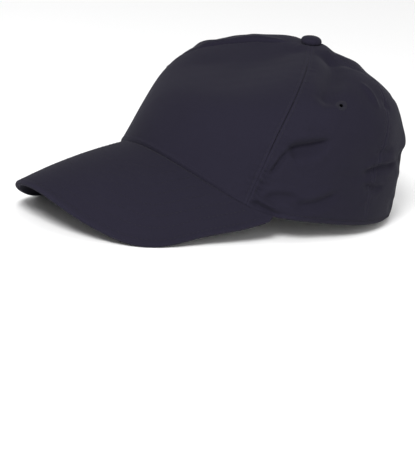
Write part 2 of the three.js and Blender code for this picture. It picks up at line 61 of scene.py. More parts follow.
REAR_SEAM = (108.0, -18.0, 30.0)
BRIM_CORNER, BRIM_DEPTH = 65.84, 85.84
BRIM_EDGE = (82.431, 84.469, 83.524, 84.843)
BRIM_SLOPE, BRIM_WRAP = 15.656, 69.86
BRIM_CONE = (-0.353, -6.12)
BRIM_DROOP, BRIM_T = 5.062, 3.6
ARCH_W, ARCH_H, BIND_W = 38.0, 44.0, 7.0
STRAP_Z = (2.2, 22.2)
SWEAT_H = 31.0
BUTTON_R, BUTTON_RISE, BUTTON_TILT, BUTTON_LIFT = 7.0, 5.2, 9.3, 0.1
STAND_TILT, STAND_Y, STAND_Z = 7.8194, 41.9142, 12.4389
T_TOP, END_U = 0.986, 0.972
EYELETS = {"left_side_eyelet": (82, 0.585), "right_side_eyelet": (-82, 0.585),
           "left_rear_eyelet": (147, 0.6), "right_rear_eyelet": (-147, 0.6)}
# Camera, in the rim frame.
CAM_AZ, CAM_EL, CAM_ROLL, CAM_PPM = 47.857, 10.842, 14.046, 1.508
CAM_OX, CAM_OY, CAM_DIST = 44.593, 81.376, 1711.508

CA, SA = math.cos(math.radians(STAND_TILT)), math.sin(math.radians(STAND_TILT))


def row(P):
    """Rim frame, mm, to row frame, m."""
    P = np.asarray(P, float)
    x, y, z = P[..., 0], P[..., 1], P[..., 2]
    return np.stack([x, y * CA + z * SA + STAND_Y, -y * SA + z * CA + STAND_Z], -1) / 1000


def row_dir(v):
    return np.array([v[0], v[1] * CA + v[2] * SA, -v[1] * SA + v[2] * CA])


# ----------------------------------------------------------------------- shape
def spow(v, e):
    return np.sign(v) * np.abs(v) ** e


def wave(k, phi):
    return k[0] + k[1] * np.cos(phi) + k[2] * np.cos(2 * phi)


def quad(k, t):
    return np.radians(k[0] + k[1] * t + k[2] * t * t)


def unit(v):
    return v / np.maximum(np.linalg.norm(v, axis=-1, keepdims=True), 1e-12)


def smooth(x, a, b):
    k = np.clip((np.asarray(x, float) - a) / (b - a), 0, 1)
    return k * k * (3 - 2 * k)


def front_seam(t):
    return quad(FRONT_SEAM, t)


def rear_seam(t):
    return quad(REAR_SEAM, t)


def rim(phi):
    s, c, e = np.sin(phi), np.cos(phi), 2 / RIM_N
    return RIM_B * spow(s, e) * (1 - RIM_EGG * c), -RIM_A * spow(c, e)


PHC = math.radians(BRIM_CORNER)
SLOPE = math.radians(BRIM_SLOPE)
R0 = float(rim(PHC)[0]) / math.sin(math.radians(BRIM_WRAP))


def bend_r(q):
    return R0 + BRIM_CONE[0] * q + BRIM_CONE[1] * (q / 70.0) ** 2


def flat_of(x, y):
    x, y = np.broadcast_arrays(np.asarray(x, float), np.asarray(y, float))
    q = np.zeros(x.shape)
    for _ in range(6):
        R = bend_r(q)
        dr = R - np.sqrt(np.maximum(R * R - x * x, (0.1 * R) ** 2))
        q = (-RIM_A + dr * math.sin(SLOPE) - y) / math.cos(SLOPE)
    R = bend_r(q)
    return R * np.arcsin(np.clip(x / R, -0.995, 0.995)), q


_lift = [0.0]


def brim_point(p, q):
    p, q = np.broadcast_arrays(np.asarray(p, float), np.asarray(q, float))
    R = bend_r(q)
    dr = R * (1 - np.cos(p / R))
    return np.stack([
        R * np.sin(p / R),
        -RIM_A - q * math.cos(SLOPE) + dr * math.sin(SLOPE),
        _lift[0] - q * math.sin(SLOPE) - dr * math.cos(SLOPE) - BRIM_DROOP * (np.maximum(q, 0) / 70.0) ** 2], -1)


CORNER = tuple(float(v) for v in flat_of(*rim(PHC)))
_lift[0] = -float(brim_point(*CORNER)[2])


def brim_normal(p, q):
    h = 0.05
    return unit(np.cross(brim_point(p + h, q) - brim_point(p - h, q), brim_point(p, q - h) - brim_point(p, q + h)))


def brim_deep(p, q, d):
    return brim_point(p, q) - brim_normal(p, q) * np.asarray(d, float)[..., None]


def rim_z(phi):
    phi = np.asarray(phi, float)
    z = brim_point(*flat_of(*rim(phi)))[..., 2]
    w = (phi + np.pi) % (2 * np.pi) - np.pi
    return np.where(np.abs(w) < PHC, z, 0.0)


def crown(phi, t):
    phi, t = np.broadcast_arrays(np.asarray(phi, float), np.asarray(t, float))
    x, y = rim(phi)
    z0 = rim_z(phi)
    dx, dy = x, y - APEX_Y
    R = np.hypot(dx, dy)
    al, be = np.radians(wave(WALL_LEAN, phi)), np.radians(wave(TOP_FALL, phi))
    L1, L2 = wave(WALL_REACH, phi), wave(TOP_REACH, phi)
    u = 1 - t
    s = u**3 * R + 3 * u * u * t * (R + L1 * np.cos(al)) + 3 * u * t * t * L2 * np.cos(be)
    z = (u**3 * z0 + 3 * u * u * t * (z0 + L1 * np.sin(al)) + 3 * u * t * t * (CROWN_H - L2 * np.sin(be))
         + t**3 * CROWN_H)
    return np.stack([dx / R * s, APEX_Y + dy / R * s, z], -1)


def crown_normal(phi, t):
    h = 1e-3
    tc = np.minimum(t, 0.992)
    return unit(np.cross(crown(phi + h, tc) - crown(phi - h, tc), crown(phi, tc + h) - crown(phi, tc - h)))


def cubic_spline(x, y):
    """Free at its first knot and level at its last."""
    n = len(x)
    a, b = np.zeros((n, n)), np.zeros(n)
    a[0, 0] = 1
    for i in range(1, n - 1):
        h0, h1 = x[i] - x[i - 1], x[i + 1] - x[i]
        a[i, i - 1], a[i, i], a[i, i + 1] = h0, 2 * (h0 + h1), h1
        b[i] = 6 * ((y[i + 1] - y[i]) / h1 - (y[i] - y[i - 1]) / h0)
    h = x[-1] - x[-2]
    a[-1, -2], a[-1, -1], b[-1] = h, 2 * h, 6 * (0 - (y[-1] - y[-2]) / h)
    m = np.linalg.solve(a, b)
    x, y = np.array(x), np.array(y)

    def f(v):
        v = np.asarray(v, float)
        i = np.clip(np.searchsorted(x, v, side="left") - 1, 0, n - 2)
        hh = x[i + 1] - x[i]
        A, B = (x[i + 1] - v) / hh, (v - x[i]) / hh
        return A * y[i] + B * y[i + 1] + ((A**3 - A) * m[i] + (B**3 - B) * m[i + 1]) * hh * hh / 6

    return f


EDGE_ANGLES = [math.atan2(CORNER[1], CORNER[0]), 0.0, math.radians(25), math.radians(50), math.radians(70), math.pi / 2]
EDGE_SPLINE = cubic_spline(EDGE_ANGLES, [math.hypot(*CORNER), *BRIM_EDGE, BRIM_DEPTH])


def brim_edge(u):
    u = np.asarray(u, float)
    w = np.abs(u)
    a = math.pi / 2 + (EDGE_ANGLES[0] - math.pi / 2) * w
    r = EDGE_SPLINE(a)
    return np.stack([np.where(u < 0, -1, 1) * r * np.cos(a), r * np.sin(a)], -1)


def brim_joint(u):
    p, q = flat_of(*rim(PHC * np.asarray(u, float)))
    return np.stack([p, q], -1)


def joint_inward(u):
    h = 0.004
    d = brim_joint(u + h) - brim_joint(u - h)
    n = unit(np.stack([d[..., 1], -d[..., 0]], -1))
    return n * np.where(d[..., 0] > 0, 1, -1)[..., None]


# Arc length up each meridian, tabulated: t at a height h above the rim.
_PH = np.linspace(-math.pi, math.pi, 721)
_TT = np.linspace(0, 1, 241)
_G = crown(_PH[:, None], _TT[None, :])
_ARC = np.concatenate([np.zeros((len(_PH), 1)), np.cumsum(np.linalg.norm(np.diff(_G, axis=1), axis=2), 1)], 1)


def wrap(phi):
    return (np.asarray(phi, float) + np.pi) % (2 * np.pi) - np.pi


def arc_of(phi, t):
    """Height above the rim along the meridian."""
    phi, t = np.broadcast_arrays(wrap(phi), np.asarray(t, float))
    fi = (phi + math.pi) / (2 * math.pi) * (len(_PH) - 1)
    i = np.clip(fi.astype(int), 0, len(_PH) - 2)
    a = fi - i
    ft = np.clip(t, 0, 1) * (len(_TT) - 1)
    j = np.clip(ft.astype(int), 0, len(_TT) - 2)
    b = ft - j
    v = ((1 - a) * (1 - b) * _ARC[i, j] + a * (1 - b) * _ARC[i + 1, j] + (1 - a) * b * _ARC[i, j + 1]
         + a * b * _ARC[i + 1, j + 1])
    return v + np.minimum(t, 0) * _ARC[i, 1] * (len(_TT) - 1)


_HH = np.linspace(0, 170, 341)
_TAB = np.stack([np.interp(_HH, r, _TT) for r in _ARC])


def t_at(phi, h):
    phi, h = np.broadcast_arrays(wrap(phi), np.asarray(h, float))
    fi = (phi + math.pi) / (2 * math.pi) * (len(_PH) - 1)
    i = np.clip(fi.astype(int), 0, len(_PH) - 2)
    a = fi - i
    fh = np.clip(h, 0, 169.9) * 2
    j = fh.astype(int)
    b = fh - j
    v = ((1 - a) * (1 - b) * _TAB[i, j] + a * (1 - b) * _TAB[i + 1, j] + (1 - a) * b * _TAB[i, j + 1]
         + a * b * _TAB[i + 1, j + 1])
    low = _TT[1] / _ARC[i, 1]
    return np.where(h < 0, h * low, v)


_ph = np.linspace(math.pi, 0, 1601)
_rx, _ry = rim(_ph)
_rs = np.concatenate([[0], np.cumsum(np.hypot(np.diff(_rx), np.diff(_ry)))])


def phi_at(s):
    """Azimuth at arc length s along the rim from the rear centre, + to the left."""
    s = np.asarray(s, float)
    p = np.interp(np.abs(s), _rs, _ph)
    return np.where(s >= 0, p, 2 * math.pi - p)


def s_at(phi):
    """Arc length along the rim from the rear centre, + to the left."""
    p = wrap(phi)
    return np.sign(p + 1e-12) * np.interp(-np.abs(p), -_ph, _rs)


# --------------------------------------------------------------- folds in cloth
def polyline(points):
    """Azimuths in degrees, t and a scale of 1 unless given, run through smoothly, as dense points (phi, t, scale)."""
    P = np.array([(math.radians(a), b, c[0] if c else 1.0) for a, b, *c in points])
    if len(P) == 1:
        P = np.repeat(P, 2, 0)
    k = np.linspace(0, len(P) - 1, 14 * (len(P) - 1) + 1)
    i = np.clip(k.astype(int), 0, len(P) - 2)
    f = (k - i)[:, None]
    p0, p1, p2, p3 = P[np.maximum(i - 1, 0)], P[i], P[i + 1], P[np.minimum(i + 2, len(P) - 1)]
    return 0.5 * (2 * p1 + (p2 - p0) * f + (2 * p0 - 5 * p1 + 4 * p2 - p3) * f**2 + (3 * p1 - p0 - 3 * p2 + p3) * f**3)


# line, depth (mm, + a valley), half width (mm), taper at its ends (mm), ridge above it, ridge below it (shares of depth),
# and how much steeper its upper side is
FOLDS = [
    # left side panel: the deep fold, its crease, and the ones round it
    ([(62.4, 0.252, 0.55), (64.8, 0.286, 0.95), (68.2, 0.306, 1.0), (72.2, 0.322, 0.95), (76, 0.342, 0.8), (80.5, 0.368, 0.5)],
     5.9, 4.5, 8, 0.42, 0.20, 0.9),
    ([(58.4, 0.140), (60.4, 0.200), (62.4, 0.255), (64.0, 0.285)], 2.9, 1.7, 5, 0.5, 0.3, 0.6),
    ([(62.5, 0.385), (67.5, 0.412), (74, 0.425)], -1.5, 5.2, 12, 0.0, 0.0, 0.0),
    ([(57.5, 0.040), (62, 0.068), (66, 0.080), (70, 0.080), (75, 0.066)], 1.6, 2.6, 8, 0.5, 0.3, 0.8),
    ([(69, 0.050), (75, 0.058), (80.3, 0.074), (85.5, 0.102), (90.5, 0.130)], 2.1, 3.2, 10, 0.6, 0.25, 0.8),
    ([(52.8, 0.020), (58.5, 0.019), (64, 0.012), (68.5, 0.006)], 2.2, 2.0, 6, 0.6, 0.0, 0.5),
    ([(112, 0.950, 0.9), (97, 0.915, 1.15), (88.0, 0.858, 1.25), (82.5, 0.796, 1.25), (78.5, 0.734, 1.15), (76.5, 0.666, 1.05),
      (75.5, 0.593, 0.9), (75.5, 0.53, 0.6)], 6.2, 7.6, 13, 0.0, 0.0, 0.0),
    ([(95.8, 0.76), (98.5, 0.695), (100.4, 0.64), (103, 0.572)], -2.3, 2.6, 12, 0.0, 0.0, 0.0),
    ([(105.5, 0.665), (108.5, 0.61), (111.5, 0.565)], 2.2, 3.2, 12, 0.0, 0.0, 0.0),
    ([(84, 0.215), (92, 0.20), (101, 0.205)], 1.0, 4.2, 12, 0.3, 0.3, 0.5),
    # left rear panel
    ([(97, 0.228), (103, 0.250), (110.5, 0.286), (119.5, 0.305)], 2.0, 2.9, 9, 0.5, 0.3, 0.8),
    ([(100, 0.335), (107, 0.350), (115, 0.372)], 0.9, 3.0, 9, 0.4, 0.3, 0.5),
    ([(99, 0.185), (107, 0.172), (115, 0.184)], 1.5, 2.4, 9, 0.4, 0.3, 0.7),
    ([(119, 0.955), (114, 0.87), (110, 0.79)], 2.4, 6.0, 14, 0.0, 0.0, 0.0),
    ([(124.5, 0.70), (125.5, 0.63)], 1.9, 9.0, 14, 0.0, 0.0, 0.0),
    ([(124, 0.470), (131, 0.455), (139, 0.455)], -1.2, 6.5, 12, 0.0, 0.0, 0.0),
    ([(120, 0.338), (130, 0.352), (141, 0.350)], 2.9, 5.0, 12, 0.30, 0.2, 0.6),
    ([(140, 0.86), (139, 0.74), (143, 0.66)], 1.9, 7.0, 24, 0.0, 0.0, 0.0),
    ([(125, 0.12), (133, 0.098), (143, 0.11)], 1.2, 4.2, 14, 0.3, 0.2, 0.5),
    ([(137, 0.862)], -1.2, 8.0, 16, 0.0, 0.0, 0.0),
    # front panel and the top
    ([(-33, 0.70)], 1.2, 13.0, 30, 0.0, 0.0, 0.0),
    ([(-82, 0.665), (-71, 0.63)], -3.2, 14.0, 16, 0.0, 0.0, 0.0),
    ([(-67, 0.93), (-74, 0.87), (-76, 0.79)], -1.8, 9.0, 14, 0.0, 0.0, 0.0),
    ([(-106, 0.92)], -1.8, 13.0, 20, 0.0, 0.0, 0.0),
    ([(-64.2, 0.955), (-63.1, 0.86), (-62.2, 0.76), (-61.4, 0.66)], 2.6, 1.6, 16, 0.0, 0.0, 0.0),
    ([(-70, 0.955), (-67.5, 0.86), (-66.0, 0.76), (-65, 0.66)], -1.5, 3.0, 10, 0.0, 0.0, 0.0),
    # right side and right rear panels
    ([(-62, 0.285), (-70, 0.335), (-82, 0.352), (-90, 0.35)], 3.4, 4.0, 14, 0.4, 0.25, 0.8),
    ([(-60, 0.085), (-74, 0.072), (-88, 0.118)], 2.0, 3.8, 14, 0.4, 0.25, 0.6),
    ([(-78, 0.60), (-77.5, 0.52), (-77, 0.45)], 2.0, 6.0, 20, 0.0, 0.0, 0.0),
    ([(-98, 0.78), (-101, 0.64), (-106, 0.52)], -1.5, 5.5, 22, 0.0, 0.0, 0.0),
    ([(-100, 0.22), (-109, 0.20), (-118, 0.215)], 1.5, 3.2, 12, 0.4, 0.3, 0.6),
    ([(-140, 0.88), (-142, 0.76), (-139, 0.67)], 1.9, 7.0, 24, 0.0, 0.0, 0.0),
    ([(-116, 0.39), (-129, 0.36), (-143, 0.40)], 2.6, 5.0, 16, 0.3, 0.3, 0.6),
    ([(-122, 0.12), (-134, 0.105), (-144, 0.13)], 1.2, 4.2, 14, 0.3, 0.2, 0.5),
    ([(168, 0.55), (180, 0.52), (193, 0.55)], 1.2, 5.0, 16, 0.3, 0.3, 0.5),
]
_SEG = []
for pts, amp, wide, taper, up, down, *more in FOLDS:
    L = polyline(pts)
    Q = crown(L[:, 0], L[:, 1])
    U = unit(crown(L[:, 0], L[:, 1] + 0.004) - crown(L[:, 0], L[:, 1] - 0.004))
    D = np.concatenate([[0], np.cumsum(np.linalg.norm(np.diff(Q, axis=0), axis=1))])
    _SEG.append((Q, U, D, L[:, 2], amp, wide, taper, up, down, more[0] if more else 0.3))


def folds(P):
    """How far the cloth stands off its smooth surface at base points P, mm, + outwards."""
    shape = P.shape[:-1]
    P = P.reshape(-1, 3)
    out = np.zeros(len(P))
    for Q, U, D, scale, amp, wide, taper, up, down, crease in _SEG:
        reach = 3.4 * wide * scale.max() + taper
        near = np.where((np.abs(P - Q.mean(0)).max(1) < D[-1] / 2 + reach + 4))[0]
        if not len(near):
            continue
        p = P[near]
        d2 = ((p[:, None, :] - Q[None]) ** 2).sum(2)
        k = d2.argmin(1)
        if D[-1] > 1:
            # the nearest point on either neighbouring stretch of the line
            best = np.full(len(p), 1e9)
            at = np.zeros(len(p))
            for lo in (np.maximum(k - 1, 0), np.minimum(k, len(Q) - 2)):
                v = Q[lo + 1] - Q[lo]
                f = np.clip(((p - Q[lo]) * v).sum(1) / np.maximum((v * v).sum(1), 1e-9), 0, 1)
                r2 = ((p - Q[lo] - v * f[:, None]) ** 2).sum(1)
                at = np.where(r2 < best, lo + f, at)
                best = np.minimum(best, r2)
            lo = np.clip(at.astype(int), 0, len(Q) - 2)
            f = at - lo
            d = np.sqrt(best)
            near_q = Q[lo] + (Q[lo + 1] - Q[lo]) * f[:, None]
            side = ((p - near_q) * (U[lo] + (U[lo + 1] - U[lo]) * f[:, None])).sum(1)
            run_at = D[lo] + (D[lo + 1] - D[lo]) * f
            sc = scale[lo] + (scale[lo + 1] - scale[lo]) * f
            ends = smooth(np.minimum(run_at, D[-1] - run_at), 0, taper)
            w = wide * (0.75 + 0.25 * ends)
        else:
            d = np.sqrt(d2[np.arange(len(p)), k])
            side = ((p - Q[k]) * U[k]).sum(1)
            ends, w, sc = 1.0, wide, scale[k]
        w, amp_k = w * sc, amp * sc
        # steep on its upper side, easing out below
        ww = np.where(side > 0, w * (1 - 0.35 * crease), w * (1 + 0.45 * crease))
        h = -amp_k * np.exp(-((d / ww) ** 2)) * ends
        across = np.exp(-((np.maximum(d - np.abs(side), 0) / (0.8 * w)) ** 2))
        h += up * amp_k * np.exp(-(((side - 1.55 * w) / (0.85 * w)) ** 2)) * ends * across
        h += down * amp_k * np.exp(-(((side + 2.1 * w) / (1.0 * w)) ** 2)) * ends * across
        out[near] += h
    return out.reshape(shape)


def slack(P, phi, t):
    """Gentle unevenness of cloth: little on the stiffened front, more on the soft panels."""
    x, y, z = P[..., 0] / 10, P[..., 1] / 10, P[..., 2] / 10
    low = (np.sin(0.61 * x + 0.83 * y + 1.3 * np.sin(0.45 * z + 0.4)) * np.cos(0.72 * z - 0.38 * y + 0.9)
           + 0.6 * np.sin(1.27 * x - 0.9 * z + 2.1 + np.sin(0.8 * y)) + 0.5 * np.cos(1.1 * y + 1.45 * z - 0.7 * x))
    fine = np.sin(2.9 * x + 1.9 * z + 1.7 * np.sin(1.3 * y)) * np.cos(2.3 * y - 1.5 * z + 1.1)
    soft = smooth(np.abs(wrap(phi)) - front_seam(t), -0.06, 0.12)
    top = 1 - 0.7 * smooth(t, 0.86, 1.0)
    edge = smooth(t, -0.01, 0.10)
    return (0.10 + 0.34 * soft) * low * top * (0.3 + 0.7 * edge) + (0.03 + 0.09 * soft) * fine * edge * top


def seam_distance(phi, t):
    """Nearest seam's distance in mm, and the seam's number: 0 front left, 1 front right, 2, 3 rear, 4 rear centre."""
    phi, t = np.broadcast_arrays(wrap(phi), np.asarray(t, float))
    P = crown(phi, t)
    r = np.hypot(P[..., 0], P[..., 1] - APEX_Y)
    lines = [front_seam(t), -front_seam(t), rear_seam(t), -rear_seam(t), np.full(t.shape, math.pi)]
    d = np.stack([np.abs(wrap(phi - s)) * r for s in lines], -1)
    # a slanting seam is nearer than the level distance
    slant = []
    for s in (front_seam, front_seam, rear_seam, rear_seam):
        dphi = (s(t + 0.01) - s(t - 0.01)) * r
        dh = np.linalg.norm(crown(phi, np.minimum(t + 0.01, 1)) - crown(phi, t - 0.01), axis=-1)
        slant.append(dh / np.hypot(dphi, dh))
    d[..., :4] *= np.stack(slant, -1)
    return d.min(-1), d.argmin(-1)


def puckers(phi, t):
    """The small gathers that seams draw into the cloth beside them."""
    d, k = seam_distance(phi, t)
    h = arc_of(phi, t)
    low = np.where(k < 2, 1.0, 0.6) * (0.35 + 0.65 * (1 - smooth(h, 30, 75)))
    ripple = np.sin(h * 0.78 + 1.7 * np.sin(h * 0.21) + k * 1.3) + 0.5 * np.sin(h * 1.37 + 2 * k)
    out = 0.26 * low * ripple * np.exp(-((d - 3.6) / 3.2) ** 2) * (1 - smooth(t, 0.8, 0.95)) * smooth(h, 2, 10)
    # closer gathers low down on the soft side of the front seams
    soft = (k < 2) & (np.abs(wrap(phi)) > front_seam(t))
    tight = np.sin(h * 1.65 + 1.1 * np.sin(h * 0.5) + 0.25 * d) * np.where(soft, 1.0, 0.35)
    return out + 0.85 * (k < 2) * tight * np.exp(-((d - 3.8) / 3.0) ** 2) * smooth(h, 3, 9) * (1 - smooth(h, 24, 40))


def crest(P):
    """The cloth's rise towards the underside of the button, which sits on a tilted plane."""
    r = np.hypot(P[..., 0], P[..., 1] - APEX_Y)
    plane = CROWN_H + (P[..., 1] - APEX_Y) * math.tan(math.radians(BUTTON_TILT))
    return np.maximum(plane - P[..., 2] + 0.1, 0.0) * (1 - smooth(r, 6.5, 17))


def curl(phi, t):
    """The soft panels' lower edge draws in towards the head, except at the brim and the rear arch."""
    w = np.abs(wrap(phi))
    k = smooth(w, PHC + 0.14, PHC + 0.34) * smooth(np.abs(s_at(phi)), 50, 66)
    return 2.8 * k * np.clip(1 - arc_of(phi, t) / 8.0, 0, 1) ** 2


def standoff(phi, t):
    P = crown(phi, t)
    return folds(P) + slack(P, phi, t) + puckers(phi, t) + crest(P) - curl(phi, t)


def skin(phi, t, depth):
    """A point of the crown at that depth below its outer surface, with the cloth's folds."""
    phi, t, depth = np.broadcast_arrays(np.asarray(phi, float), np.asarray(t, float), np.asarray(depth, float))
    return crown(phi, t) + crown_normal(phi, t) * (standoff(phi, t) - depth)[..., None]


def skin_at(s, h, depth):
    phi = phi_at(s)
    return skin(phi, t_at(phi, h), depth)


# ------------------------------------------------------------------- materials
def socket(node, *names):
    for n in names:
        if n in node.inputs:
            return node.inputs[n]
    raise KeyError(names)


def new_material(name):
    m = bpy.data.materials.new(name)
    m.use_nodes = True
    nt = m.node_tree
    nt.nodes.clear()
    out = nt.nodes.new("ShaderNodeOutputMaterial")
    bsdf = nt.nodes.new("ShaderNodeBsdfPrincipled")
    nt.links.new(bsdf.outputs["BSDF"], out.inputs["Surface"])
    return m, nt, bsdf


def math_node(nt, op, a, b=None, c=None):
    n = nt.nodes.new("ShaderNodeMath")
    n.operation = op
    for i, v in enumerate((a, b, c)):
        if v is None:
            continue
        if isinstance(v, (int, float)):
            n.inputs[i].default_value = v
        else:
            nt.links.new(v, n.inputs[i])
    return n.outputs[0]


def cloth(name, base, pitch=0.62, twill=1.0, bump=0.35, rough=0.95, sheen=0.04, tint=(0.62, 0.62, 0.72), vary=0.16,
          wear=0.16, slope=45.0):
    """Woven cloth. Its weave lies in the UV map "weave", which is in metres along the cloth; wear is a point attribute."""
    m, nt, bsdf = new_material(name)
    uv = nt.nodes.new("ShaderNodeUVMap")
    uv.uv_map = "weave"
    mm = nt.nodes.new("ShaderNodeMapping")
    mm.inputs["Scale"].default_value = (1000, 1000, 1000)
    nt.links.new(uv.outputs[0], mm.inputs[0])
    turn = nt.nodes.new("ShaderNodeMapping")
    turn.inputs["Rotation"].default_value = (0, 0, math.radians(slope))
    nt.links.new(mm.outputs[0], turn.inputs[0])

    def bands(vector, period, distort, axis="X"):
        w = nt.nodes.new("ShaderNodeTexWave")
        w.wave_type, w.bands_direction = "BANDS", axis
        w.inputs["Scale"].default_value = 0.314159 / period
        w.inputs["Distortion"].default_value = distort
        w.inputs["Detail"].default_value = 1.0
        w.inputs["Detail Scale"].default_value = 2.2
        nt.links.new(vector, w.inputs["Vector"])
        return w.outputs["Fac"]

    def noise(vector, scale, detail=2.0, roughness=0.5):
        n = nt.nodes.new("ShaderNodeTexNoise")
        n.inputs["Scale"].default_value = scale
        n.inputs["Detail"].default_value = detail
        n.inputs["Roughness"].default_value = roughness
        nt.links.new(vector, n.inputs["Vector"])
        return n.outputs["Fac"]

    ribs = bands(turn.outputs[0], pitch, 0.5)
    warp = bands(mm.outputs[0], pitch * 0.72, 0.25, "X")
    weft = bands(mm.outputs[0], pitch * 0.72, 0.25, "Y")
    threads = math_node(nt, "MULTIPLY", warp, weft)
    # slubs: yarns of uneven thickness, long in the warp and in the weft
    long_a = nt.nodes.new("ShaderNodeMapping")
    long_a.inputs["Scale"].default_value = (1.5, 0.07, 1)
    nt.links.new(mm.outputs[0], long_a.inputs[0])
    long_b = nt.nodes.new("ShaderNodeMapping")
    long_b.inputs["Scale"].default_value = (0.07, 1.5, 1)
    nt.links.new(mm.outputs[0], long_b.inputs[0])
    slub = math_node(nt, "ADD", noise(long_a.outputs[0], 1.0), noise(long_b.outputs[0], 1.0))
    height = math_node(nt, "ADD", math_node(nt, "MULTIPLY", ribs, twill), math_node(nt, "MULTIPLY", threads, 0.6))
    height = math_node(nt, "ADD", height, math_node(nt, "MULTIPLY", slub, 0.35))
    # colour
    geo = nt.nodes.new("ShaderNodeTexCoord")
    wide = noise(geo.outputs["Object"], 26.0, 3.0, 0.55)
    fuzz = noise(mm.outputs[0], 1.7, 2.0, 0.6)
    shade = math_node(nt, "ADD", math_node(nt, "MULTIPLY", wide, vary), math_node(nt, "MULTIPLY", slub, vary * 0.9))
    shade = math_node(nt, "ADD", shade, math_node(nt, "MULTIPLY", fuzz, vary * 0.7))
    shade = math_node(nt, "ADD", shade, math_node(nt, "MULTIPLY", ribs, 0.10 * twill))
    att = nt.nodes.new("ShaderNodeAttribute")
    att.attribute_name = "wear"
    shade = math_node(nt, "ADD", shade, math_node(nt, "MULTIPLY", att.outputs["Fac"], wear))
    shade = math_node(nt, "ADD", shade, 1.0 - 0.5 * vary - 0.9 * vary - 0.35 * vary - 0.05 * twill)
    mix = nt.nodes.new("ShaderNodeVectorMath")
    mix.operation = "SCALE"
    mix.inputs[0].default_value = base
    nt.links.new(shade, mix.inputs["Scale"])
    nt.links.new(mix.outputs[0], bsdf.inputs["Base Color"])
    # gentle variation of roughness, higher where fibres stand up
    r = math_node(nt, "ADD", math_node(nt, "MULTIPLY", fuzz, 0.06), rough - 0.03)
    nt.links.new(math_node(nt, "MINIMUM", r, 1.0), bsdf.inputs["Roughness"])
    b = nt.nodes.new("ShaderNodeBump")
    b.inputs["Strength"].default_value = bump
    b.inputs["Distance"].default_value = 0.00018
    nt.links.new(height, b.inputs["Height"])
    nt.links.new(b.outputs[0], bsdf.inputs["Normal"])
    bsdf.inputs["Sheen Weight"].default_value = sheen
    bsdf.inputs["Sheen Roughness"].default_value = 0.45
    bsdf.inputs["Sheen Tint"].default_value = (*tint, 1)
    socket(bsdf, "Specular IOR Level").default_value = 0.08
    return m


def plain(name, base, rough, metal=0.0, bump=0.1, scale=400.0, vary=0.08, stretch=(1, 1, 1), spec=0.4):
    """Moulded board or stamped metal, with fine grain."""
    m, nt, bsdf = new_material(name)
    co = nt.nodes.new("ShaderNodeTexCoord")
    mp = nt.nodes.new("ShaderNodeMapping")
    mp.inputs["Scale"].default_value = stretch
    nt.links.new(co.outputs["Object"], mp.inputs[0])
    n = nt.nodes.new("ShaderNodeTexNoise")
    n.inputs["Scale"].default_value = scale
    n.inputs["Detail"].default_value = 4
    nt.links.new(mp.outputs[0], n.inputs["Vector"])
    s = math_node(nt, "ADD", math_node(nt, "MULTIPLY", n.outputs["Fac"], vary), 1 - vary / 2)
    mix = nt.nodes.new("ShaderNodeVectorMath")
    mix.operation = "SCALE"
    mix.inputs[0].default_value = base
    nt.links.new(s, mix.inputs["Scale"])
    nt.links.new(mix.outputs[0], bsdf.inputs["Base Color"])
    r = math_node(nt, "ADD", math_node(nt, "MULTIPLY", n.outputs["Fac"], 0.16), rough - 0.08)
    nt.links.new(r, bsdf.inputs["Roughness"])
    b = nt.nodes.new("ShaderNodeBump")
    b.inputs["Strength"].default_value = bump
    b.inputs["Distance"].default_value = 0.0001
    nt.links.new(n.outputs["Fac"], b.inputs["Height"])
    nt.links.new(b.outputs[0], bsdf.inputs["Normal"])
    bsdf.inputs["Metallic"].default_value = metal
    socket(bsdf, "Specular IOR Level").default_value = spec
    return m


def thread(name, base, rough=0.6):
    """Sewing or embroidery thread: fine twist along the stitch."""
    m, nt, bsdf = new_material(name)
    co = nt.nodes.new("ShaderNodeTexCoord")
    w = nt.nodes.new("ShaderNodeTexNoise")
    w.inputs["Scale"].default_value = 2600
    w.inputs["Detail"].default_value = 2
    nt.links.new(co.outputs["Object"], w.inputs["Vector"])
    s = math_node(nt, "ADD", math_node(nt, "MULTIPLY", w.outputs["Fac"], 0.3), 0.85)
    mix = nt.nodes.new("ShaderNodeVectorMath")
    mix.operation = "SCALE"
    mix.inputs[0].default_value = base
    nt.links.new(s, mix.inputs["Scale"])
    nt.links.new(mix.outputs[0], bsdf.inputs["Base Color"])
    b = nt.nodes.new("ShaderNodeBump")
    b.inputs["Strength"].default_value = 0.4
    b.inputs["Distance"].default_value = 0.00008
    nt.links.new(w.outputs["Fac"], b.inputs["Height"])
    nt.links.new(b.outputs[0], bsdf.inputs["Normal"])
    bsdf.inputs["Roughness"].default_value = rough
    bsdf.inputs["Sheen Weight"].default_value = 0.03
    socket(bsdf, "Specular IOR Level").default_value = 0.15
    return m


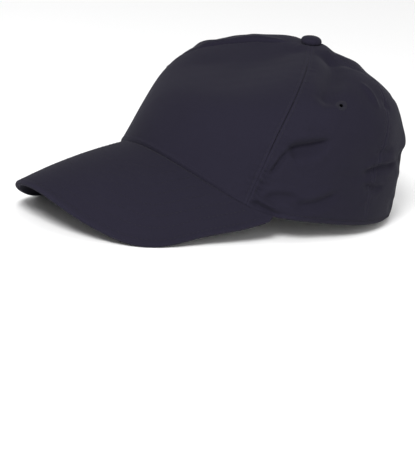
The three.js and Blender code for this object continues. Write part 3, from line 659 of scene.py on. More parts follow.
NAVY = (0.0106, 0.0095, 0.0168)
MAT = {
    "twill": cloth("navy_twill", NAVY),
    "under": cloth("navy_twill_under", tuple(0.93 * c for c in NAVY)),
    "tape": cloth("navy_tape", tuple(0.85 * c for c in NAVY), pitch=0.9, twill=0.2, bump=0.5),
    "binding": cloth("navy_binding", tuple(0.95 * c for c in NAVY), pitch=0.55, twill=0.35, bump=0.35),
    "band": cloth("navy_sweatband", tuple(0.9 * c for c in NAVY), pitch=0.8, twill=0.5, bump=0.5, sheen=0.06),
    "strap": cloth("navy_strap", tuple(0.97 * c for c in NAVY), pitch=0.62, twill=1.0, bump=0.4),
    "buckram": cloth("black_buckram", (0.012, 0.012, 0.014), pitch=1.5, twill=0.0, bump=1.0, rough=0.85, sheen=0.05),
    "label": cloth("white_label", (0.72, 0.72, 0.70), pitch=0.45, twill=0.1, bump=0.25, rough=0.75, sheen=0.15,
                   tint=(0.9, 0.9, 0.9), vary=0.05),
    "loop": cloth("navy_loop_pile", (0.014, 0.013, 0.019), pitch=0.5, twill=0.0, bump=1.0, sheen=0.25, vary=0.25),
    "thread": thread("navy_thread", (0.0099, 0.0092, 0.0152), 0.85),
    "label_thread": thread("white_thread", (0.6, 0.6, 0.58)),
    "hook": plain("navy_hooks", (0.013, 0.012, 0.018), 0.5, bump=0.3, scale=900),
    "board": plain("dark_board", (0.05, 0.05, 0.055), 0.5, bump=0.15, scale=220),
    "metal": plain("stamped_steel", (0.56, 0.56, 0.57), 0.38, metal=1.0, bump=0.15, scale=90, stretch=(1, 1, 6), spec=0.5),
}


# ----------------------------------------------------------------- mesh making
def quads(nu, nv, keep=None):
    i, j = np.meshgrid(np.arange(nu - 1), np.arange(nv - 1), indexing="ij")
    a = i * nv + j
    f = np.stack([a, a + nv, a + nv + 1, a + 1], -1).reshape(-1, 4)
    return f if keep is None else f[keep.reshape(-1)]


def vertex_normals(V, F):
    n = np.cross(V[F[:, 2]] - V[F[:, 0]], V[F[:, 3]] - V[F[:, 1]])
    out = np.zeros_like(V)
    for k in range(4):
        np.add.at(out, F[:, k], n)
    return unit(out)


def compact(V, F, *more):
    used = np.unique(F)
    new = np.full(len(V), -1)
    new[used] = np.arange(len(used))
    return (V[used], new[F], *[None if m is None else m[used] for m in more])


def thicken(V, F, N, thick, UV=None, wear=None):
    """A closed skin: V and F outside, the same set in by thick along N inside, and walls round every open edge."""
    n = len(V)
    W = V - N * (thick if np.isscalar(thick) else thick[:, None])
    e = np.concatenate([F[:, [k, (k + 1) % 4]] for k in range(4)])
    key = np.sort(e, 1)
    _, inv, cnt = np.unique(key[:, 0] * n + key[:, 1], return_inverse=True, return_counts=True)
    rim_e = e[cnt[inv] == 1]
    walls = np.stack([rim_e[:, 1], rim_e[:, 0], rim_e[:, 0] + n, rim_e[:, 1] + n], 1)
    FF = np.concatenate([F, F[:, ::-1] + n, walls])
    VV = np.concatenate([V, W])
    return VV, FF, None if UV is None else np.concatenate([UV, UV]), None if wear is None else np.concatenate([wear, wear])


def build(name, V, F, mat, UV=None, wear=None, smooth_shade=True, body="crown", replaces=(), sharp=None):
    """A mesh object from rim-frame points."""
    me = bpy.data.meshes.new(name)
    me.from_pydata(row(V).tolist(), [], np.asarray(F).tolist())
    me.validate()
    me.update()
    if UV is not None:
        layer = me.uv_layers.new(name="weave")
        idx = np.empty(len(me.loops), np.int64)
        me.loops.foreach_get("vertex_index", idx)
        layer.data.foreach_set("uv", (UV[idx] / 1000).astype(np.float32).reshape(-1))
    a = me.attributes.new("wear", "FLOAT", "POINT")
    a.data.foreach_set("value", (np.zeros(len(me.vertices)) if wear is None else wear).astype(np.float32))
    me.polygons.foreach_set("use_smooth", [smooth_shade] * len(me.polygons))
    if sharp is not None:
        me.set_sharp_from_angle(angle=math.radians(sharp))
    ob = bpy.data.objects.new(name, me)
    bpy.context.scene.collection.objects.link(ob)
    me.materials.append(MAT[mat])
    if body:
        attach(ob, body)
    if replaces:
        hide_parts(*([replaces] if isinstance(replaces, str) else replaces))
    return ob


FLAT = {}


def declare(ob, F_out, V_out, flat):
    """Notes in FLAT that a piece is a sheet: the flat size of its cut, mm, and its one-sided area."""
    a, b, c, d = (V_out[F_out[:, k]] for k in range(4))
    area = (np.linalg.norm(np.cross(b - a, c - a), axis=1).sum() + np.linalg.norm(np.cross(c - a, d - a), axis=1).sum()) / 2e6
    w, l = flat[0] / 1000, flat[1] / 1000
    area = float(min(max(area, 0.31 * w * l), w * l)) if len(F_out) else w * l
    FLAT[ob.name] = [round(w, 4), round(l, 4), round(area, 5)]


# Stitches: short threads that dip into the cloth at either end.
_RINGS, _SIDES = 7, 6
_k = np.linspace(-1, 1, _RINGS)
_fat = np.sqrt(np.maximum(1 - (np.abs(_k) ** 3), 0.04))
_ang = np.arange(_SIDES) * 2 * math.pi / _SIDES


def stitch_mesh(centres, along, out, length=2.5, radius=0.21, rise=0.16, sink=0.12):
    """One closed thread per centre, lying along `along` on a surface whose normal is `out`."""
    n = len(centres)
    side = unit(np.cross(along, out))
    up = unit(np.cross(side, along))
    axis = centres[:, None, :] + along[:, None, :] * (_k * length / 2)[None, :, None] \
        + up[:, None, :] * ((rise + sink) * (1 - _k**2) - sink)[None, :, None]
    ring = (side[:, None, None, :] * np.cos(_ang)[None, None, :, None] + up[:, None, None, :] * np.sin(_ang)[None, None, :, None])
    V = axis[:, :, None, :] + ring * (radius * _fat)[None, :, None, None]
    V = V.reshape(-1, 3)
    per = _RINGS * _SIDES
    f = []
    for i in range(_RINGS - 1):
        for j in range(_SIDES):
            a, b = i * _SIDES + j, i * _SIDES + (j + 1) % _SIDES
            f.append((a, a + _SIDES, b + _SIDES, b))
    caps = [tuple(range(_SIDES)), tuple((_RINGS - 1) * _SIDES + j for j in reversed(range(_SIDES)))]
    f = np.array(f)
    F = (f[None] + (np.arange(n) * per)[:, None, None]).reshape(-1, 4)
    C = [tuple(c + k * per for c in cap) for k in range(n) for cap in caps]
    return V, F, C


def run_of(points, normals, pitch=3.2, start=1.6, skip=None):
    """Stitch centres and directions along a dense line of points."""
    d = np.concatenate([[0], np.cumsum(np.linalg.norm(np.diff(points, axis=0), axis=1))])
    if d[-1] < 2 * start:
        return None
    c = np.arange(start, d[-1] - start * 0.6, pitch)
    P = np.stack([np.interp(c, d, points[:, k]) for k in range(3)], 1)
    N = unit(np.stack([np.interp(c, d, normals[:, k]) for k in range(3)], 1))
    A = unit(np.stack([np.interp(c + 0.7, d, points[:, k]) - np.interp(c - 0.7, d, points[:, k]) for k in range(3)], 1))
    keep = np.ones(len(c), bool) if skip is None else ~skip(P)
    return P[keep], A[keep], N[keep]


def stitches(name, runs, mat="thread", body="crown", length=2.5, radius=0.21, rise=0.16, sink=0.12):
    runs = [r for r in runs if r is not None and len(r[0])]
    P, A, N = (np.concatenate([r[k] for r in runs]) for k in range(3))
    V, F, C = stitch_mesh(P, A, N, length, radius, rise, sink)
    me = bpy.data.meshes.new(name)
    me.from_pydata(row(V).tolist(), [], F.tolist() + C)
    me.validate()
    me.polygons.foreach_set("use_smooth", [True] * len(me.polygons))
    ob = bpy.data.objects.new(name, me)
    bpy.context.scene.collection.objects.link(ob)
    me.materials.append(MAT[mat])
    if body:
        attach(ob, body)
    return ob


def spacing(length, fine, coarse, reach, both=True):
    """Positions from 0 to 1 that lie closer together near the ends of a line of that length, mm."""
    xs, half = [0.0], length / 2 if both else length
    while xs[-1] < half:
        xs.append(xs[-1] + float(fine + (coarse - fine) * smooth(xs[-1], reach * 0.7, reach * 1.6)))
    xs = np.array(xs) * (half / xs[-1])
    return (np.concatenate([xs, length - xs[-2::-1]]) if both else xs) / length


# ------------------------------------------------------------- crown's panels
SEAM_STITCH = 2.3
EDGE_STITCH = 3.4


def cloth_edges(phi, t, d, h, strong=1.0):
    """Extra stand-off of a panel near its seams and its lower edge, mm."""
    front = 1 - smooth(np.abs(wrap(phi)), PHC - 0.04, PHC + 0.03)
    low = 0.05 + 0.95 * smooth(t, 0.15, 0.33)
    e = -(0.25 * (0.4 + 0.6 * low) + 0.42 * strong * low) * np.exp(-(d / (0.34 + 0.10 * strong)) ** 1.6)
    e += 0.05 * np.exp(-(((d - 1.35) / 0.75) ** 2)) * (0.4 + 0.6 * strong)
    e -= 0.10 * np.exp(-(((d - SEAM_STITCH) / 0.42) ** 2))
    top = 1 - smooth(t, 0.9, 0.97)
    e = e * (0.45 + 0.55 * top)
    away = np.degrees(-wrap(phi))
    joint = 1 - 0.7 * smooth(away, -2, 14) * (1 - smooth(away, 40, 52))
    w = np.abs(wrap(phi))
    s1, s2 = smooth(w, 0.60 * PHC, 0.76 * PHC), smooth(w, 0.76 * PHC, 0.85 * PHC)
    joint = joint * (1 - 0.62 * s1 - 0.30 * s2)
    k = np.clip(1 - h / (1.2 + 1.0 * front), 0, 1)
    corner = (0.10 * s1 + 0.25 * s2) * (1 - smooth(w, PHC + 0.14, PHC + 0.30))
    e -= (0.75 - corner + 1.75 * front * joint) * (1 - np.sqrt(np.maximum(1 - k * k, 0)))
    e += 0.75 * front * joint * np.exp(-(((h - 2.9) / 1.1) ** 2))
    e += 0.14 * (1 - front) * np.exp(-(((h - 1.6) / 1.1) ** 2))
    e -= 0.15 * (1 - front) * np.exp(-(((h - EDGE_STITCH) / 0.5) ** 2))
    return e


def arch_inside(s, h, grow):
    return (np.abs(s) / (ARCH_W + grow)) ** (2 / 0.82) + (np.maximum(h, 0) / (ARCH_H + grow)) ** (2 / 0.9) < 1


def panel(name, side_a, side_b, width, strong_a, strong_b, arch=False, eyelet=None):
    mid_phi = float((side_a(0.3) + side_b(0.3)) / 2)
    length = float(arc_of(mid_phi, T_TOP))
    # the same heights on every panel, so that neighbours meet along their seams
    ref = float(arc_of(1.4, T_TOP))
    H = spacing(ref, 0.34, 1.15, 7, both=False) * ref
    T = np.interp(H, _ARC[np.abs(_PH - 1.4).argmin()], _TT)
    T[-1] = T_TOP
    W = spacing(width, 0.36, 1.35, 7)
    a, b = side_a(T), side_b(T)
    ra = np.hypot(crown(a, T)[:, 0], crown(a, T)[:, 1] - APEX_Y)
    gap = (0.06 - 0.05 * (1 - smooth(T, 0.15, 0.33)) - 0.22 * smooth(T, 0.84, 0.92)) / ra
    a, b = a + gap, b - gap
    phi = a[None] + (b - a)[None] * W[:, None]
    t = np.broadcast_to(T[None], phi.shape).copy()
    keep = np.ones((len(W) - 1, len(T) - 1), bool)
    if eyelet:
        p0, t0 = math.radians(EYELETS[eyelet][0]), EYELETS[eyelet][1]
        gx = np.linalg.norm(crown(p0 + 1e-3, t0) - crown(p0 - 1e-3, t0)) / 2e-3
        gy = np.linalg.norm(crown(p0, t0 + 1e-3) - crown(p0, t0 - 1e-3)) / 2e-3
        dp, dt = wrap(phi - p0), t - t0
        r = np.hypot(gx * dp, gy * dt)
        rc = (r[:-1, :-1] + r[1:, :-1] + r[:-1, 1:] + r[1:, 1:]) / 4
        keep &= rc > 1.25
        R1, rh = 7.0, 1.9
        f = np.where(r < R1, (rh + (1 - rh / R1) * r) / np.maximum(r, 0.05), 1.0)
        phi, t = phi + dp * (f - 1), t + dt * (f - 1)
    base = crown(phi, t)
    N = crown_normal(phi, t)
    rr = np.hypot(base[..., 0], base[..., 1] - APEX_Y)
    d = np.minimum(np.abs(phi - a[None]), np.abs(b[None] - phi)) * rr
    h = arc_of(phi, t)
    near_a = np.abs(phi - a[None]) < np.abs(b[None] - phi)
    strong = np.where(near_a, strong_a, strong_b)
    off = standoff(phi, t) + cloth_edges(phi, t, d * 0.93, h, strong)
    V = base + N * off[..., None]
    if arch:
        s = s_at(phi)
        sc = (s[:-1, :-1] + s[1:, 1:]) / 2
        hc = (h[:-1, :-1] + h[1:, 1:]) / 2
        keep &= ~arch_inside(sc, hc, 1.9)
    F = quads(*phi.shape, keep)
    mid = (a + b)[None] / 2
    UV = np.stack([(phi - mid) * rr, h], -1).reshape(-1, 2)
    wear = (0.8 * np.exp(-(((d - 1.2) / 0.8) ** 2)) + 0.8 * np.exp(-(((h - 1.5) / 1.0) ** 2))).reshape(-1)
    V, F, UV, wear = compact(V.reshape(-1, 3), F, UV, wear)
    n = vertex_normals(V, F)
    VV, FF, UU, WW = thicken(V, F, n, 0.62, UV, wear)
    ob = build(name, VV, FF, "twill", UU, WW, replaces=name.replace("_cloth", ""))
    flat_w = float((np.abs(b - a) * ra).max()) if arch else float((np.abs(b - a)[:, None] * rr.T).max())
    declare(ob, F, V, (flat_w, length))
    return ob


def ring_lengths(side_a, side_b):
    t = np.linspace(0, 0.5, 20)
    a, b = side_a(t), side_b(t)
    P = crown((a + b) / 2, t)
    return float((np.abs(b - a) * np.hypot(P[:, 0], P[:, 1] - APEX_Y)).max())


PI = math.pi
panel("front_panel_cloth", lambda t: -front_seam(t), front_seam, ring_lengths(lambda t: -front_seam(t), front_seam), 1.0, 1.0)
panel("left_side_panel_cloth", front_seam, rear_seam, ring_lengths(front_seam, rear_seam), 1.0, 0.15, eyelet="left_side_eyelet")
panel("right_side_panel_cloth", lambda t: -rear_seam(t), lambda t: -front_seam(t), ring_lengths(front_seam, rear_seam),
      0.15, 1.0, eyelet="right_side_eyelet")
panel("left_rear_panel_cloth", rear_seam, lambda t: PI + 0 * t, ring_lengths(rear_seam, lambda t: PI + 0 * t), 0.15, 0.6,
      arch=True, eyelet="left_rear_eyelet")
panel("right_rear_panel_cloth", lambda t: -PI + 0 * t, lambda t: -rear_seam(t),
      ring_lengths(rear_seam, lambda t: PI + 0 * t), 0.6, 0.15, arch=True, eyelet="right_rear_eyelet")

# Topstitching beside the seams and along the lower edge.
runs = []
for seam, h0 in ((front_seam, 5.0), (lambda t: -front_seam(t), 5.0), (rear_seam, 5.0), (lambda t: -rear_seam(t), 5.0),
                 (lambda t: PI + 0 * t, ARCH_H + BIND_W + 1.5)):
    t0 = float(t_at(float(seam(0.05)), h0))
    T = np.linspace(t0, 0.955, 420)
    ph = seam(T)
    P0 = crown(ph, T)
    r = np.hypot(P0[:, 0], P0[:, 1] - APEX_Y)
    lean = np.gradient(ph, T) * r
    rise = np.linalg.norm(np.gradient(P0, axis=0), axis=1) / (T[1] - T[0])
    slant = np.clip(np.sqrt(np.maximum(rise**2 - lean**2, 1)) / rise, 0.5, 1)
    for side in (-1, 1):
        phs = ph + side * SEAM_STITCH / (r * slant)
        runs.append(run_of(skin(phs, T, 0.13), crown_normal(phs, T)))
for lo, hi in ((PHC + 0.05, float(phi_at(ARCH_W + BIND_W + 1))), (-float(phi_at(ARCH_W + BIND_W + 1)), -PHC - 0.05)):
    ph = np.linspace(lo, hi, 500)
    tt = t_at(ph, EDGE_STITCH + 0 * ph)
    runs.append(run_of(skin(ph, tt, 0.13), crown_normal(ph, tt)))
stitches("crown_topstitching", runs)

# ------------------------------------------------------------------ the brim
E_U = np.linspace(-1, 1, 900)
E_P = brim_edge(E_U)
E_N = unit(np.stack([np.gradient(E_P[:, 1]), -np.gradient(E_P[:, 0])], -1)) * -1
J_P = brim_joint(np.linspace(-1, 1, 400))
ROWS = [4.2 + 7.6 * k for k in range(8)]


def edge_distance(p, q):
    X = np.stack([p, q], -1).reshape(-1, 2)
    out = np.empty(len(X))
    for i in range(0, len(X), 4000):
        out[i:i + 4000] = np.sqrt(((X[i:i + 4000, None] - E_P[None, ::3]) ** 2).sum(2).min(1))
    return out.reshape(np.shape(p))


def row_groove(e, q, qj):
    g = sum(np.exp(-(((e - r) / 0.55) ** 2)) for r in ROWS)
    return 0.13 * g * smooth(q - qj, 1.5, 3.5)


def brim_cover(name, top):
    us = np.linspace(-1, 1, 261)
    us = END_U * np.sign(us) * np.abs(us) ** 0.9
    J, E, nI = brim_joint(us), brim_edge(us), joint_inward(us)
    L = np.linalg.norm(E - J, axis=1)
    dirn = (E - J) / L[:, None]
    shrink = np.minimum(1, L / 14)
    fold = np.minimum(1, L / 12)
    thin = 1 - 0.45 * smooth(np.abs(us), 0.86, END_U)
    k = 1.0 * (0.25 + 0.75 * np.clip((0.8 - np.abs(us)) * 4, 0, 1))
    T = BRIM_T
    half = T / 2 - 0.06
    cols, deps = [], []
    if top:
        cols.append(J + nI * k[:, None])
        deps.append(np.zeros(len(us)))
    else:
        for extra, dep in ((0.25, 0.9), (0.42, 2.2), (0.36, 3.1), (0.1, 3.52)):
            cols.append(J + nI * (k + extra * (0.4 + 0.6 * (k - 0.25) / 0.75))[:, None])
            deps.append(np.full(len(us), dep))
    inner = L - 1.9 * shrink
    n = 74
    fr = spacing(85, 0.5, 1.3, 4)
    for f in fr:
        cols.append(J + dirn * (inner * f)[:, None])
        deps.append(np.full(len(us), 0.0 if top else T))
    for th in np.radians([18, 36, 54, 70, 82, 90]):
        cols.append(J + dirn * (L - 1.9 * shrink * (1 - math.sin(th)))[:, None])
        drop = half * (1 - math.cos(th)) * fold
        deps.append(drop if top else T - drop)
    P = np.stack(cols, 1)
    D = np.stack(deps, 1)
    e = edge_distance(P[..., 0], P[..., 1])
    qj = np.interp(P[..., 0], J_P[:, 0], J_P[:, 1])
    g = row_groove(e, P[..., 1], qj)
    pillow = 0.05 * np.sin(P[..., 0] * 0.11 + 1.3 * np.sin(P[..., 1] * 0.07)) * np.cos(P[..., 1] * 0.13)
    near = np.exp(-(((e - 1.7) / 1.0) ** 2)) * 0.10
    D = D * thin[:, None]
    D = D + (g - pillow - near) * (1 if top else -1)
    V = brim_deep(P[..., 0], P[..., 1], D)
    F = quads(*P.shape[:2])
    if top:
        F = F[:, ::-1]
    UV = P.reshape(-1, 2).copy()
    wear = (1.1 * np.exp(-((e / 1.6) ** 2)) + 0.25 * np.exp(-(((P[..., 1] - qj - 1) / 1.5) ** 2))).reshape(-1)
    V = V.reshape(-1, 3)
    nrm = vertex_normals(V, F)
    out = brim_normal(P[..., 0], P[..., 1]).reshape(-1, 3) * (1 if top else -1)
    if (nrm * out).sum(1).mean() < 0:
        F = F[:, ::-1]
        nrm = -nrm
    VV, FF, UU, WW = thicken(V, F, nrm, 0.5, UV, wear)
    ob = build(name, VV, FF, "twill" if top else "under", UU, WW,
               replaces="brim_top_cover" if top else "brim_under_cover")
    declare(ob, F, V, (2 * float(np.abs(E[:, 0]).max()), float(E[:, 1].max() - J[:, 1].min())))
    return ob


brim_cover("brim_upper_cloth", True)
brim_cover("brim_lower_cloth", False)

# The moulded board between the two covers.
us = 0.90 * np.linspace(-1, 1, 161)
J, E, nI = brim_joint(us), brim_edge(us), joint_inward(us)
L = np.linalg.norm(E - J, axis=1)
fr = np.linspace(0, 1, 60)
P = J[:, None] + ((E - J) / L[:, None])[:, None] * ((L - 2.6 * np.minimum(1, L / 14))[:, None] * fr[None])[..., None]
thin = 1 - 0.45 * smooth(np.abs(us), 0.86, END_U)
edge = np.minimum(edge_distance(P[..., 0], P[..., 1]) - 2.0, 4.0) / 4.0
pinch = 0.35 * np.clip(1 - edge, 0, 1) ** 2
V = brim_deep(P[..., 0], P[..., 1], (0.78 + pinch) * thin[:, None]).reshape(-1, 3)
W = brim_deep(P[..., 0], P[..., 1], (2.72 - pinch) * thin[:, None]).reshape(-1, 3)
F = quads(*P.shape[:2])
if (vertex_normals(V, F) * brim_normal(P[..., 0], P[..., 1]).reshape(-1, 3)).sum() < 0:
    F = F[:, ::-1]
ed = np.concatenate([F[:, [q, (q + 1) % 4]] for q in range(4)])
_, inv, cnt = np.unique(np.sort(ed, 1) @ np.array([len(V), 1]), return_inverse=True, return_counts=True)
rim_e = ed[cnt[inv] == 1]
walls = np.stack([rim_e[:, 1], rim_e[:, 0], rim_e[:, 0] + len(V), rim_e[:, 1] + len(V)], 1)
UV = P.reshape(-1, 2)
build("brim_board_plate", np.concatenate([V, W]), np.concatenate([F, F[:, ::-1] + len(V), walls]), "board",
      np.concatenate([UV, UV]), replaces="brim_board", sharp=40)

runs_top, runs_under = [], []
for r in ROWS:
    X = E_P - E_N * r if (E_N[450, 1] > 0) else E_P + E_N * r
    qj = np.interp(X[:, 0], J_P[:, 0], J_P[:, 1])
    ok = (X[:, 1] > qj + 2.6) & (np.abs(X[:, 0]) < abs(J_P[-1, 0]) + 4) & (np.abs(E_U) < 0.955)
    # keep only points that are truly that far from the edge, past no crossing
    ok &= np.abs(edge_distance(X[:, 0], X[:, 1]) - r) < 0.25
    idx = np.where(ok)[0]
    if len(idx) < 8:
        continue
    for part in np.split(idx, np.where(np.diff(idx) > 1)[0] + 1):
        if len(part) < 8:
            continue
        x = X[part]
        thin = BRIM_T * (1 - 0.45 * smooth(np.abs(E_U[part]), 0.86, END_U))
        nn = brim_normal(x[:, 0], x[:, 1])
        runs_top.append(run_of(brim_deep(x[:, 0], x[:, 1], 0.16 + 0 * x[:, 0]), nn))
        runs_under.append(run_of(brim_deep(x[:, 0], x[:, 1], thin - 0.16), -nn))
stitches("brim_upper_stitching", runs_top, radius=0.19, rise=0.13)
stitches("brim_lower_stitching", runs_under, radius=0.19, rise=0.13)


# ------------------------------------------------------------ closed sections
def sweep_closed(sections):
    """Rings of points joined along their length, both ends capped. Returns points and faces, caps as long polygons."""
    S = np.asarray(sections)
    n, m = S.shape[:2]
    i, j = np.meshgrid(np.arange(n - 1), np.arange(m), indexing="ij")
    a, b = i * m + j, i * m + (j + 1) % m
    F = np.stack([a, b, b + m, a + m], -1).reshape(-1, 4)
    V = S.reshape(-1, 3)
    vol = 0.0
    c = V.mean(0)
    A, B, C, D = (V[F[:, k]] - c for k in range(4))
    vol = (np.cross(A, B) * C).sum() + (np.cross(A, C) * D).sum()
    caps = [tuple(range(m))[::-1], tuple((n - 1) * m + k for k in range(m))]
    if vol < 0:
        F = F[:, ::-1]
        caps = [c_[::-1] for c_ in caps]
    return V, F, caps


def build_ring(name, sections, mat, UV, replaces=(), body="crown", wear=None):
    V, F, caps = sweep_closed(sections)
    me = bpy.data.meshes.new(name)
    # each end is closed by a strip of quads across the section
    m = np.asarray(sections).shape[1]
    n = np.asarray(sections).shape[0]
    ends = []
    for base, flip in ((0, False), ((n - 1) * m, True)):
        for k in range(m // 2 - 1):
            q = [base + k, base + k + 1, base + m - 2 - k, base + m - 1 - k]
            ends.append(q[::-1] if flip else q)
    ends = np.array(ends)
    # match the winding of the walls
    ref = F[0]
    e0 = ends[0]
    first = {(int(ref[k]), int(ref[(k + 1) % 4])) for k in range(4)} | {(int(f[k]), int(f[(k + 1) % 4])) for f in F[:m] for k in range(4)}
    if (int(e0[0]), int(e0[1])) in first:
        ends = ends[:, ::-1]
    me.from_pydata(row(V).tolist(), [], F.tolist() + ends.tolist())
    me.validate()
    me.update()
    layer = me.uv_layers.new(name="weave")
    idx = np.empty(len(me.loops), np.int64)
    me.loops.foreach_get("vertex_index", idx)
    layer.data.foreach_set("uv", (np.asarray(UV).reshape(-1, 2)[idx] / 1000).astype(np.float32).reshape(-1))
    a = me.attributes.new("wear", "FLOAT", "POINT")
    a.data.foreach_set("value", (np.zeros(len(me.vertices)) if wear is None else np.asarray(wear).reshape(-1)).astype(np.float32))
    me.polygons.foreach_set("use_smooth", [True] * len(me.polygons))
    ob = bpy.data.objects.new(name, me)
    bpy.context.scene.collection.objects.link(ob)
    me.materials.append(MAT[mat])
    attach(ob, body)
    if replaces:
        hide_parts(*([replaces] if isinstance(replaces, str) else replaces))
    return ob, V, F


def ribbon_section(path, thick):
    """A closed section round an open 2-D path, with rounded ends: points up one side and back down the other."""
    p = np.asarray(path, float)
    tan = unit(np.gradient(p, axis=0))
    nor = np.stack([-tan[:, 1], tan[:, 0]], -1)
    n = len(p)
    d = np.minimum(np.arange(n), np.arange(n)[::-1])
    w = np.where(d == 0, 0.55, np.where(d == 1, 0.9, 1.0))[:, None] * thick / 2
    return np.concatenate([p + nor * w, (p - nor * w)[::-1]])


# ---------------------------------------------------------- rear arch binding
def arch_point(a):
    return ARCH_W * spow(np.cos(a), 0.82), ARCH_H * np.abs(np.sin(a)) ** 0.9


bind_path = [(7.0, 0.62), (6.2, 0.66), (5.4, 0.56), (4.4, 0.66), (3.0, 0.68), (1.6, 0.66), (0.6, 0.6), (-0.15, 0.35),
             (-0.6, -0.05), (-0.75, -0.45), (-0.6, -0.9), (-0.15, -1.25), (0.6, -1.45), (1.6, -1.5), (3.0, -1.5),
             (4.4, -1.48), (5.4, -1.4), (6.2, -1.48), (7.0, -1.46)]
bind_sec = ribbon_section(bind_path, 0.55)
A = np.linspace(0.012, PI - 0.012, 190)
secs, uvs, wears, out_line, in_line, out_n = [], [], [], [], [], []
run = 0.0
last = None
for a in A:
    s, h = arch_point(a)
    s1, h1 = arch_point(a + 0.01)
    s0, h0 = arch_point(a - 0.01)
    ms, mh = float(h1 - h0), -float(s1 - s0)
    l = math.hypot(ms, mh)
    ms, mh = ms / l, mh / l
    k = float(smooth(min(a, PI - a), 0.1, 0.3))
    ms, mh = ms * k + np.sign(math.cos(a)) * (1 - k), mh * k
    wob = 0.12 * math.sin(a * 23) + 0.08 * math.sin(a * 41 + 1)
    m_, n_ = bind_sec[:, 0] + wob * smooth(bind_sec[:, 0], 3, 7), bind_sec[:, 1]
    S = s + ms * m_
    Hh = np.maximum(h + mh * m_, 0.5)
    secs.append(skin_at(S, Hh, -n_ - 0.0))
    if last is not None:
        run += math.hypot(float(s) - last[0], float(h) - last[1])
    last = (float(s), float(h))
    along = np.cumsum(np.concatenate([[0], np.hypot(*np.diff(bind_sec, axis=0).T)]))
    uvs.append(np.stack([np.full(len(along), run), along], -1))
    wears.append(0.9 * np.exp(-(((bind_sec[:, 0] + 0.8) / 0.7) ** 2)))
    out_line.append(skin_at(s + ms * 5.4, max(float(h + mh * 5.4), 0.9), -0.80))
    in_line.append(skin_at(s + ms * 5.4, max(float(h + mh * 5.4), 0.9), 1.66))
    out_n.append(crown_normal(phi_at(s + ms * 5.4), t_at(phi_at(s + ms * 5.4), h + mh * 5.4)))
ob, V, F = build_ring("rear_arch_binding_tape", secs, "binding", uvs, "rear_arch_binding", wear=wears)
declare(ob, F[:0], V, (17.5, run))
out_n = np.array(out_n)
stitches("binding_stitching", [run_of(np.array(out_line), out_n), run_of(np.array(in_line), -out_n)])


# ----------------------------------------------------------------- sweatband
band_a = float(phi_at(39.6))
PHB = np.linspace(-band_a, band_a, 330)
secs, uvs, wears, low_line, high_line, low_n = [], [], [], [], [], []
run = 0.0
for i, ph in enumerate(PHB):
    front = 1 - smooth(abs(ph), PHC - 0.12, PHC + 0.02)
    end = smooth(abs(ph), band_a - 0.10, band_a - 0.03)
    ripple = 0.25 * math.sin(ph * 17) + 0.2 * math.sin(ph * 29 + 0.7)
    top = SWEAT_H + 0.35 * math.sin(ph * 11 + 0.4)
    out_d = (1.35 + 1.2 * front) * (1 - end) + 3.4 * end
    lo = 0.85 + 0.75 * front
    path = [(top, 3.75 + 0.2 * ripple), (top - 0.9, 3.72 + 0.2 * ripple), (top - 3.0, 3.62), (top - 4.0, 3.55), (top - 5.2, 3.66)]
    path += [(x, 3.72 + 0.12 * ripple * math.sin(x * 0.3)) for x in np.linspace(top - 8, 6.5, 10)]
    path += [(5.0, 3.62), (4.2, 3.55), (3.2, 3.66), (2.2 + 0.2 * front, 3.6)]
    bend = np.array([(lo + 0.75, 3.35), (lo + 0.25, 2.9)])
    path += [tuple(x) for x in bend]
    path += [(lo + 0.02, d_) for d_ in np.linspace(2.3, out_d, 3) - 0.001 * np.arange(3)] if out_d < 2.2 else \
        [(lo + 0.02, 2.9 + (out_d - 2.9) * k_) for k_ in (0.25, 0.6, 1.0)]
    sec = ribbon_section(path, 0.8)
    Hs, Ds = sec[:, 0], sec[:, 1]
    phs = np.full(len(Hs), ph)
    base = crown(phs, t_at(phs, Hs))
    secs.append(base + crown_normal(phs, np.maximum(t_at(phs, Hs), 0)) * (0.85 * standoff(phs, t_at(phs, Hs)) - Ds)[:, None])
    if i:
        run += float(np.linalg.norm(secs[-1][8] - secs[-2][8]))
    along = np.cumsum(np.concatenate([[0], np.hypot(*np.diff(sec, axis=0).T)]))
    uvs.append(np.stack([np.full(len(along), run), along], -1))
    wears.append(0.5 * np.exp(-(((Hs - top) / 1.0) ** 2)))
    for line, hh in ((low_line, 4.2), (high_line, top - 4.0)):
        tt = t_at(ph, hh)
        line.append(crown(ph, tt) + crown_normal(ph, tt) * (0.85 * standoff(ph, tt) - 4.0))
    low_n.append(-crown_normal(ph, t_at(ph, 4.2)))
ob, V, F = build_ring("sweatband_cloth", secs, "band", uvs, "sweatband", wear=wears)
declare(ob, F[:0], V, (SWEAT_H + 5.0, run))
low_n = np.array(low_n)
stitches("sweatband_stitching", [run_of(np.array(low_line), low_n, 3.4), run_of(np.array(high_line), low_n, 3.4)])


